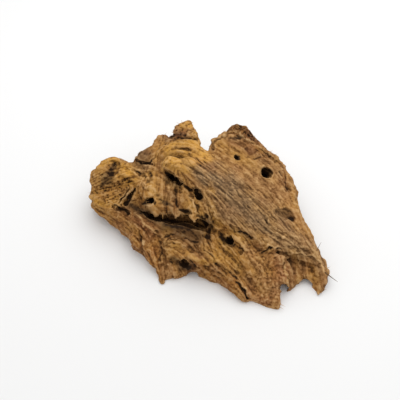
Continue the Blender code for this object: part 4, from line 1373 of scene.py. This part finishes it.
@dataclass
class Parting:
    """Cuts the chunk flat where it stands and parts it at its main forks."""

    gap: float = 0.02
    reach: float = 150.0
    triangles: int = 300000
    smallest: int = 400
    forks: dict[str, list[Place]] = field(default_factory=lambda: {
        "left_limb": [(-58, 90), (-57, 47), (-53, 36), (-55, 26), (-62, 16), (-64, 5), (-60, -8),
            (-66, -40)],
        "crown_stub": [(-40, 100), (-36, 68), (-27, 61), (-12, 61), (-1, 64), (-1, 100)],
        "right_limb": [(4, 100), (2, 50), (7, 41), (22, 29), (38, 17), (52, 5), (68, -7), (84, -17),
            (120, -24)],
    })

    def sheet(self, name: str, line: list[Place]) -> Piece:
        """An upright sheet, as thick as the gap, along the line in plan of a fork.

        Args:
            name: Its name.
            line: The line, in millimetres.

        Returns:
            The sheet.
        """
        curve = bpy.data.curves.new(name, "CURVE")
        curve.dimensions = "3D"
        curve.extrude = self.reach
        spline = curve.splines.new("POLY")
        spline.points.add(len(line) - 1)
        for knot, (x, y) in zip(spline.points, line):
            knot.co = (x, y, 0.0, 1.0)
        return applied(meshed(name, curve), "SOLIDIFY", thickness=self.gap, offset=0.0, use_even_offset=True)

    def flattened(self, body: Piece) -> None:
        """Cuts away what lies under the table, and closes the cut.

        Args:
            body: The whole chunk.
        """
        cut = partial(bpy.ops.mesh.bisect, plane_co=(0, 0, 0), plane_no=(0, 0, 1), use_fill=True,
                      clear_inner=True)
        edited(body, cut, bpy.ops.mesh.quads_convert_to_tris)

    def part(self, body: Piece) -> dict[Limb, Piece]:
        """Parts the chunk.

        Args:
            body: The whole chunk.

        Returns:
            The piece for each limb.
        """
        faces = len(body.data.polygons) * 2
        if faces > self.triangles:
            applied(body, "DECIMATE", ratio=self.triangles / faces, use_collapse_triangulate=True)
        self.flattened(body)
        for name, line in self.forks.items():
            cutter = self.sheet(name + "_fork", line)
            applied(body, "BOOLEAN", operation="DIFFERENCE", object=cutter, solver="EXACT")
            bpy.data.objects.remove(cutter)
        edited(body, partial(bpy.ops.mesh.separate, type="LOOSE"))
        pieces = list(bpy.context.selected_objects)
        for crumb in [piece for piece in pieces if len(piece.data.vertices) < self.smallest]:
            log.info("crumb of %d points left out", len(crumb.data.vertices))
            pieces.remove(crumb)
            bpy.data.objects.remove(crumb)
        return {limb: self.nearest(pieces, limb) for limb in Limb}

    def nearest(self, pieces: list[Piece], limb: Limb) -> Piece:
        """The piece whose middle in plan is nearest a limb's.

        Args:
            pieces: The pieces.
            limb: The limb.

        Returns:
            That piece.
        """
        def distance(piece: Piece) -> float:
            """How far the piece's middle is from the limb's."""
            points = points_of(piece)[:, :2]
            middle = (points.min(axis=0) + points.max(axis=0)) / 2
            return (Vector(middle) - limb.middle).length

        return min(pieces, key=distance)


@dataclass(frozen=True)
class WoodFinish:
    """Weathered wood: its colours, painted shade, how it scatters light, and its fine grain."""

    tan: Triple = (0.365, 0.180, 0.058)
    brown: Triple = (0.155, 0.064, 0.017)
    gold: Triple = (0.57, 0.282, 0.040)
    rust: Triple = (0.27, 0.092, 0.025)
    grey: Triple = (0.220, 0.128, 0.061)
    # dark is the colour of painted shade as well as of the darkest wood
    dark: Triple = (0.020, 0.009, 0.003)
    pale: Triple = (0.57, 0.355, 0.160)
    deep: float = 0.5
    rough_low: float = 0.62
    rough_high: float = 0.95
    bump: float = 0.35
    bump_reach: float = 0.0006
    specular: float = 0.12
    speckle_scale: float = 1100.0
    tint_scale: float = 85.0

    def material(self, name: str) -> bpy.types.Material:
        """The finish as a material.

        Args:
            name: Its name.

        Returns:
            The material.
        """
        made = bpy.data.materials.new(name)
        made.use_nodes = True
        nodes, links = made.node_tree.nodes, made.node_tree.links
        shader = nodes["Principled BSDF"]

        def node(kind: str, **settings: object) -> bpy.types.Node:
            """A new node with its settings."""
            fresh = nodes.new("ShaderNode" + kind)
            for key, value in settings.items():
                setattr(fresh, key, value)
            return fresh

        def channels(attribute: str) -> list[Socket]:
            """The three channels of a colour attribute."""
            source = node("Attribute", attribute_name=attribute)
            parts = node("SeparateColor")
            links.new(source.outputs["Color"], parts.inputs["Color"])
            return list(parts.outputs)[:3]

        def texture(scale: float, detail: float, mapping: Socket) -> Socket:
            """Noise at a scale.

            Args:
                scale: How fine it is.
                detail: How many finer layers it has.
                mapping: The place that it is read at.

            Returns:
                The noise, from 0 to 1.
            """
            fresh = node("TexNoise")
            fresh.inputs["Scale"].default_value = scale
            fresh.inputs["Detail"].default_value = detail
            links.new(mapping, fresh.inputs["Vector"])
            return fresh.outputs["Fac"]

        def maths(kind: str, first: Socket, second: Socket | float, clamp: bool = False) -> Socket:
            """A sum or product of two values.

            Args:
                kind: The operation.
                first: One value.
                second: The other.
                clamp: Whether the result is kept from 0 to 1.

            Returns:
                The result.
            """
            fresh = node("Math", operation=kind, use_clamp=clamp)
            for socket, value in zip(fresh.inputs, (first, second)):
                if isinstance(value, float):
                    socket.default_value = value
                else:
                    links.new(value, socket)
            return fresh.outputs[0]

        def ranged(value: Socket, low: float, high: float, to_low: float, to_high: float) -> Socket:
            """A value carried from one range to another.

            Args:
                value: The value.
                low: Low end of its range.
                high: High end of its range.
                to_low: What the low end becomes.
                to_high: What the high end becomes.

            Returns:
                The new value.
            """
            fresh = node("MapRange")
            numbers = {"From Min": low, "From Max": high, "To Min": to_low, "To Max": to_high}
            for key, number in numbers.items():
                fresh.inputs[key].default_value = number
            links.new(value, fresh.inputs["Value"])
            return fresh.outputs["Result"]

        def mixed(share: Socket, under: Socket | Triple, over: Socket | Triple) -> Socket:
            """One colour laid over another.

            Args:
                share: How much of the upper colour shows.
                under: The lower colour.
                over: The upper colour.

            Returns:
                The mixed colour.
            """
            fresh = node("Mix", data_type="RGBA", clamp_factor=True)
            links.new(share, fresh.inputs["Factor"])
            for socket, value in ((fresh.inputs[6], under), (fresh.inputs[7], over)):
                if isinstance(value, tuple):
                    socket.default_value = (*value, 1.0)
                else:
                    links.new(value, socket)
            return fresh.outputs[2]

        def shaded(colour: Triple) -> Socket:
            """A colour mixed with a darker copy of itself by the fibre light, which carries painted shade in
            crevices and a painted highlight on raised spots.
            """
            deep = tuple(part * self.deep for part in colour)
            return mixed(ranged(light, 0.2, 0.8, 0.0, 1.0), deep, colour)

        place = node("TexCoord").outputs["Object"]
        turned = node("Mapping")
        turned.inputs["Rotation"].default_value = (0, 0, GRAIN_TURN)
        turned.inputs["Scale"].default_value = (0.12, 1.0, 1.0)
        links.new(place, turned.inputs["Vector"])
        speckle = texture(self.speckle_scale, 3.0, place)
        threads = texture(self.speckle_scale * 0.8, 2.0, turned.outputs["Vector"])
        tint = texture(self.tint_scale, 4.0, place)
        gold, rust, grey = channels("tones")
        # the wear attribute's first channel is the dark tone with its painted shade, its second the fibre
        # tone with painted shade and highlight
        shade, fibre, pale = channels("wear")
        fleck = maths("ADD", ranged(speckle, 0.3, 0.7, -0.16, 0.16), ranged(threads, 0.3, 0.7, -0.10, 0.10))
        light = maths("ADD", fibre, fleck)
        wood = mixed(ranged(light, 0.15, 0.85, 0.0, 1.0), self.brown, self.tan)
        wood = mixed(maths("MULTIPLY", rust, ranged(tint, 0.35, 0.65, 0.55, 1.2), True), wood,
                     shaded(self.rust))
        wood = mixed(maths("MULTIPLY", gold, ranged(light, 0.1, 0.7, 0.1, 1.0), True), wood, self.gold)
        wood = mixed(maths("MULTIPLY", grey, ranged(tint, 0.3, 0.7, 1.1, 0.7), True), wood, shaded(self.grey))
        wood = mixed(maths("MULTIPLY", pale, ranged(light, 0.3, 0.8, 0.2, 1.2), True), wood, self.pale)
        # painted shade: toward the dark colour where the shade channel is high and where the fibre light is
        # low
        wood = mixed(maths("ADD", shade, ranged(light, 0.0, 0.4, 0.18, 0.0), True), wood, self.dark)
        links.new(wood, shader.inputs["Base Color"])
        links.new(ranged(light, 0.1, 0.9, self.rough_high, self.rough_low), shader.inputs["Roughness"])
        shader.inputs["Specular IOR Level"].default_value = self.specular
        lift = node("Bump")
        lift.inputs["Strength"].default_value = self.bump
        lift.inputs["Distance"].default_value = self.bump_reach
        links.new(maths("ADD", speckle, threads), lift.inputs["Height"])
        links.new(lift.outputs["Normal"], shader.inputs["Normal"])
        return made


@dataclass
class Dressing:
    """Tones, painted shade and finish of one limb."""

    surface: SurfaceMap
    relief: Relief
    finish: WoodFinish
    painted_closed_shade: float = 0.66
    painted_crevice_shade: float = 0.38
    edge_pale: float = 0.35

    def paint(self, piece: Piece) -> None:
        """Stores the tones of a piece at its points, with painted shade where the skin is closed in, in
        crevices and in broad hollows.

        Args:
            piece: The piece, in millimetres.
        """
        points = points_of(piece)
        places = VIEW.project(points)
        share = self.relief.view_share(piece)
        tone = {name: self.surface.sampled(table, places) for name, table in self.surface.tones.items()}
        grain = self.relief.rear_grain(piece)
        patch = np.array([noise.noise(spot) for spot in map(Vector, points / 16.0)])
        rear = {
            "gold": 0.10 + 0.25 * patch,
            "rust": 0.25 - 0.4 * patch,
            "grey": 0.25 + 0.5 * np.abs(patch),
            # on the rear, dark is painted shade in the torn splits of the grain
            "dark": 0.05 + 0.10 * smooth_step(-grain, 0.8, 2.0),
            "pale": 0.08,
            "fibre": 0.5 + 0.16 * grain,
        }
        tone = {name: values * share + rear[name] * (1 - share) for name, values in tone.items()}
        closed = self.relief.shade(piece)
        crevice = self.relief.hollow(piece, 6)
        broad = self.relief.hollow(piece, 30)
        low = smooth_step(-crevice, -0.30, 0.30)
        # painted shade: darker where the skin is closed in, in crevices and in broad hollows
        dark = tone["dark"] + self.painted_closed_shade * smooth_step(closed, 0.30, 0.95)
        dark += self.painted_crevice_shade * smooth_step(crevice, 0.08, 0.45) + 0.25 * smooth_step(broad, 0.3, 1.6)
        pale = tone["pale"] + self.edge_pale * smooth_step(-crevice, 0.06, 0.35)
        # painted shade and highlight in the fibre tone: darker in crevices, lighter on raised spots
        fibre = tone["fibre"] + 0.30 * (low - 0.5)
        store(piece, "tones", tone["gold"], tone["rust"], tone["grey"])
        # the wear attribute holds the dark tone with its painted shade, the fibre tone with its painted shade
        # and highlight, and the pale tone
        store(piece, "wear", dark, fibre, pale)

    def frays(self, piece: Piece) -> np.ndarray:
        """How frayed each point of a piece is: worn edges most, the open surface least."""
        edge = smooth_step(-self.relief.hollow(piece, 8), 0.15, 0.7)
        return 0.12 + 0.6 * edge

    def dress(self, piece: Piece, limb: Limb) -> None:
        """Paints a limb, gives it its finish and puts it in the frame.

        Args:
            piece: The limb's piece, in millimetres.
            limb: Which limb it is.
        """
        piece.name = limb.node + "_wood"
        piece.data.name = piece.name
        self.paint(piece)
        piece.data.transform(FIT.matrix)
        piece.data.materials.clear()
        piece.data.materials.append(self.finish.material(piece.name))
        select_only(piece)
        bpy.ops.object.shade_smooth()
        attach(piece, "root")
        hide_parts(limb.node)
        log.info("%s: %d points, %d faces", piece.name, len(piece.data.vertices), len(piece.data.polygons))


@dataclass(frozen=True)
class Hair:
    """One loose fibre as seen: where it leaves the wood, where its tip shows, and how thick it is."""

    root: Place
    tip: Place
    radius: float = 0.25
    grey: bool = False


@dataclass
class Fibres:
    """Splinters, hairs and frayed edges, each a tapering mesh rooted in the wood."""

    finish: WoodFinish
    scatter: int = 900
    seed: int = 77
    sink: float = 0.8
    hairs: dict[Limb, list[Hair]] = field(default_factory=lambda: {
        Limb.TRUNK: [
            Hair((324, 271), (336.5, 281.5), 0.62, True), Hair((316, 251), (320.5, 242.5), 0.28, True),
            Hair((324, 268), (329.5, 267), 0.4), Hair((279, 304), (285, 306.5), 0.25),
            Hair((277, 306), (283, 309), 0.22), Hair((319, 288), (321, 293), 0.3),
            Hair((322, 287), (326, 290), 0.25), Hair((302, 225), (305, 221), 0.35, True),
            Hair((154, 211), (155, 217), 0.4), Hair((163, 213), (163, 219), 0.45),
            Hair((166, 212), (168, 217), 0.3), Hair((181, 211), (183, 217), 0.35),
            Hair((194, 211), (196, 218), 0.4), Hair((206, 216), (210, 222), 0.4),
            Hair((175, 212), (175, 218), 0.35),
        ],
        Limb.RIGHT: [
            Hair((259, 140), (263, 139.5), 0.3), Hair((268, 151), (272.5, 151), 0.3),
            Hair((272, 155), (277, 154), 0.3), Hair((256, 137), (259, 135), 0.25),
            Hair((214, 142), (210.5, 140), 0.3),
        ],
        Limb.CROWN: [
            Hair((180, 125), (176.5, 122), 0.3), Hair((179, 128), (175, 125.5), 0.25),
            Hair((183, 123), (181, 119.5), 0.25), Hair((176, 134), (171, 132), 0.3),
        ],
        Limb.LEFT: [
            Hair((105, 159), (102, 155.5), 0.22), Hair((96, 203), (92, 208), 0.3),
            Hair((101, 206), (99, 211), 0.3), Hair((93, 193), (88, 193), 0.3),
            Hair((108, 208), (107, 214), 0.35),
        ],
    })

    def tube(self, curve: bpy.types.Curve, points: list[Vector], radius: float) -> None:
        """Adds a fibre that tapers to its tip.

        Args:
            curve: Where it is added.
            points: Its points, from root to tip.
            radius: How thick it is at its root.
        """
        spline = curve.splines.new("POLY")
        spline.points.add(len(points) - 1)
        for index, (knot, point) in enumerate(zip(spline.points, points)):
            knot.co = (*point, 1.0)
            knot.radius = radius * (1.0 - 0.85 * index / (len(points) - 1))

    def bent(self, start: Vector, way: Vector, length: float, sag: Vector) -> list[Vector]:
        """The points of a fibre that sets out one way and bends another."""
        return [start + way * (length * step) + sag * (length * step * step)
                for step in (0.0, 0.35, 0.7, 1.0)]

    def drawn_hairs(self, limb: Limb, skin: BVHTree, curve: bpy.types.Curve, grey: bool) -> None:
        """Adds the hairs that are read one by one.

        Args:
            limb: The limb that they grow from.
            skin: The limb's faces.
            curve: Where they are added.
            grey: Whether the grey ones are added, or the others.
        """
        scale = VIEW.spread * VIEW.distance / VIEW.middle
        for hair in self.hairs[limb]:
            spot = VIEW.touched(skin, *hair.root)
            if spot is None or hair.grey != grey:
                continue
            point, normal = spot
            shift = (Vector((1, 0, 0)) * (hair.tip[0] - hair.root[0])
                     - VIEW.upward * (hair.tip[1] - hair.root[1])) * scale
            start = point - normal * self.sink
            way = (shift + normal * self.sink).normalized()
            self.tube(curve, self.bent(start, way, (shift + normal * self.sink).length, Vector((0, 0, 0.03))),
                      hair.radius)

    def frayed(self, piece: Piece, edge: np.ndarray, curve: bpy.types.Curve) -> None:
        """Scatters short frays, thickest on the worn edges.

        Args:
            piece: The limb's piece, in millimetres.
            edge: How likely each point is to have one, from 0 to 1.
            curve: Where they are added.
        """
        chance = np.random.default_rng(self.seed + len(piece.data.vertices))
        points, normals = points_of(piece), normals_of(piece)
        grain = Vector((math.cos(GRAIN_TURN), -math.sin(GRAIN_TURN), -0.1))
        for index in chance.integers(len(points), size=self.scatter):
            if chance.random() > edge[index] or points[index, 2] < 2.0:
                continue
            normal = Vector(normals[index])
            side = grain * chance.choice((-1.0, 1.0)) + Vector(chance.normal(0, 0.5, 3))
            side -= normal * side.dot(normal)
            way = (side.normalized() + normal * chance.uniform(0.25, 0.7)).normalized()
            length, radius = chance.uniform(1.2, 3.2), chance.uniform(0.10, 0.20)
            start = Vector(points[index]) - normal * 0.3
            self.tube(curve, self.bent(start, way, length, normal * -0.25), radius)

    def grow(self, piece: Piece, limb: Limb, edge: np.ndarray) -> None:
        """Grows the fibres of a limb and puts them in the frame.

        Args:
            piece: The limb's piece, in millimetres.
            limb: Which limb it is.
            edge: How frayed each point is, from 0 to 1.
        """
        skin = skin_of(piece)
        parts = []
        for grey in (False, True):
            curve = bpy.data.curves.new(limb.node + "_fibres", "CURVE")
            curve.dimensions = "3D"
            curve.bevel_depth = 1.0
            curve.bevel_resolution = 1
            curve.use_fill_caps = True
            self.drawn_hairs(limb, skin, curve, grey)
            if not grey:
                self.frayed(piece, edge, curve)
            if not curve.splines:
                continue
            made = meshed(limb.node + "_fibres", curve)
            tones = ((0.0, 0.0, 0.9), (0.35, 0.35, 0.2)) if grey else ((0.35, 0.15, 0.0), (0.0, 0.65, 0.35))
            for name, values in zip(("tones", "wear"), tones):
                store(made, name, *(np.full(len(made.data.vertices), value) for value in values))
            parts.append(made)
        whole = joined(parts)
        whole.name = limb.node + "_fibres"
        whole.data.transform(FIT.matrix)
        whole.data.materials.clear()
        whole.data.materials.append(self.finish.material(whole.name))
        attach(whole, "root")
        log.info("%s: %d faces", whole.name, len(whole.data.polygons))


@dataclass
class Studio:
    """A pale floor, soft light from above and slightly behind, and the camera at the reference view."""

    floor_size: float = 3.0
    floor_tone: tuple[float, float, float, float] = (0.815, 0.815, 0.812, 1.0)
    sky: float = 0.80
    key_energy: float = 3.5
    key_size: float = 0.9
    key_place: Triple = (0.10, 0.28, 0.62)
    lens: float = 50.0
    sensor: float = 36.0

    def camera(self) -> None:
        """Sets up the camera."""
        data = bpy.data.cameras.new("camera")
        data.lens = self.lens
        data.sensor_width = self.sensor
        data.clip_start = 0.01
        made = bpy.data.objects.new("camera", data)
        bpy.context.scene.collection.objects.link(made)
        made.location = FIT.matrix @ Vector(VIEW.aim) - VIEW.forward * VIEW.distance * MM
        made.rotation_euler = VIEW.forward.to_track_quat("-Z", "Y").to_euler()
        bpy.context.scene.camera = made

    def floor(self) -> None:
        """Lays the floor."""
        bpy.ops.object.select_all(action="DESELECT")
        bpy.ops.mesh.primitive_plane_add(size=self.floor_size)
        made = bpy.context.object
        made.name = "floor"
        finish = bpy.data.materials.new("floor")
        finish.use_nodes = True
        shader = finish.node_tree.nodes["Principled BSDF"]
        shader.inputs["Base Color"].default_value = self.floor_tone
        shader.inputs["Roughness"].default_value = 0.9
        made.data.materials.append(finish)

    def lights(self) -> None:
        """Hangs the light and sets the sky."""
        world = bpy.data.worlds.new("studio")
        world.use_nodes = True
        backdrop = world.node_tree.nodes["Background"]
        backdrop.inputs["Color"].default_value = (1.0, 1.0, 1.0, 1.0)
        backdrop.inputs["Strength"].default_value = self.sky
        bpy.context.scene.world = world
        bpy.context.scene.view_settings.view_transform = "Standard"
        data = bpy.data.lights.new("key", "AREA")
        data.energy = self.key_energy
        data.size = self.key_size
        made = bpy.data.objects.new("key", data)
        bpy.context.scene.collection.objects.link(made)
        made.location = self.key_place
        made.rotation_euler = (-Vector(self.key_place)).to_track_quat("-Z", "Y").to_euler()

    def set_up(self) -> None:
        """Sets up the floor, the lights and the camera."""
        self.floor()
        self.lights()
        self.camera()


def main() -> None:
    """Builds, dresses and lights the driftwood."""
    logging.basicConfig(level=logging.INFO, format="%(name)s: %(message)s")
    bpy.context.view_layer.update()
    form = DriftwoodForm()
    body = form.build()
    log.info("form: %d points", len(body.data.vertices))
    surface = SurfaceMap()
    surface.draw()
    log.info("surface map drawn")
    relief = Relief(surface)
    relief.carve(body)
    log.info("relief carved")
    dressing = Dressing(surface, relief, WoodFinish())
    fibres = Fibres(dressing.finish)
    for limb, piece in Parting().part(body).items():
        fibres.grow(piece, limb, dressing.frays(piece))
        dressing.dress(piece, limb)
    Studio().set_up()


if __name__ == "__main__":
    main()
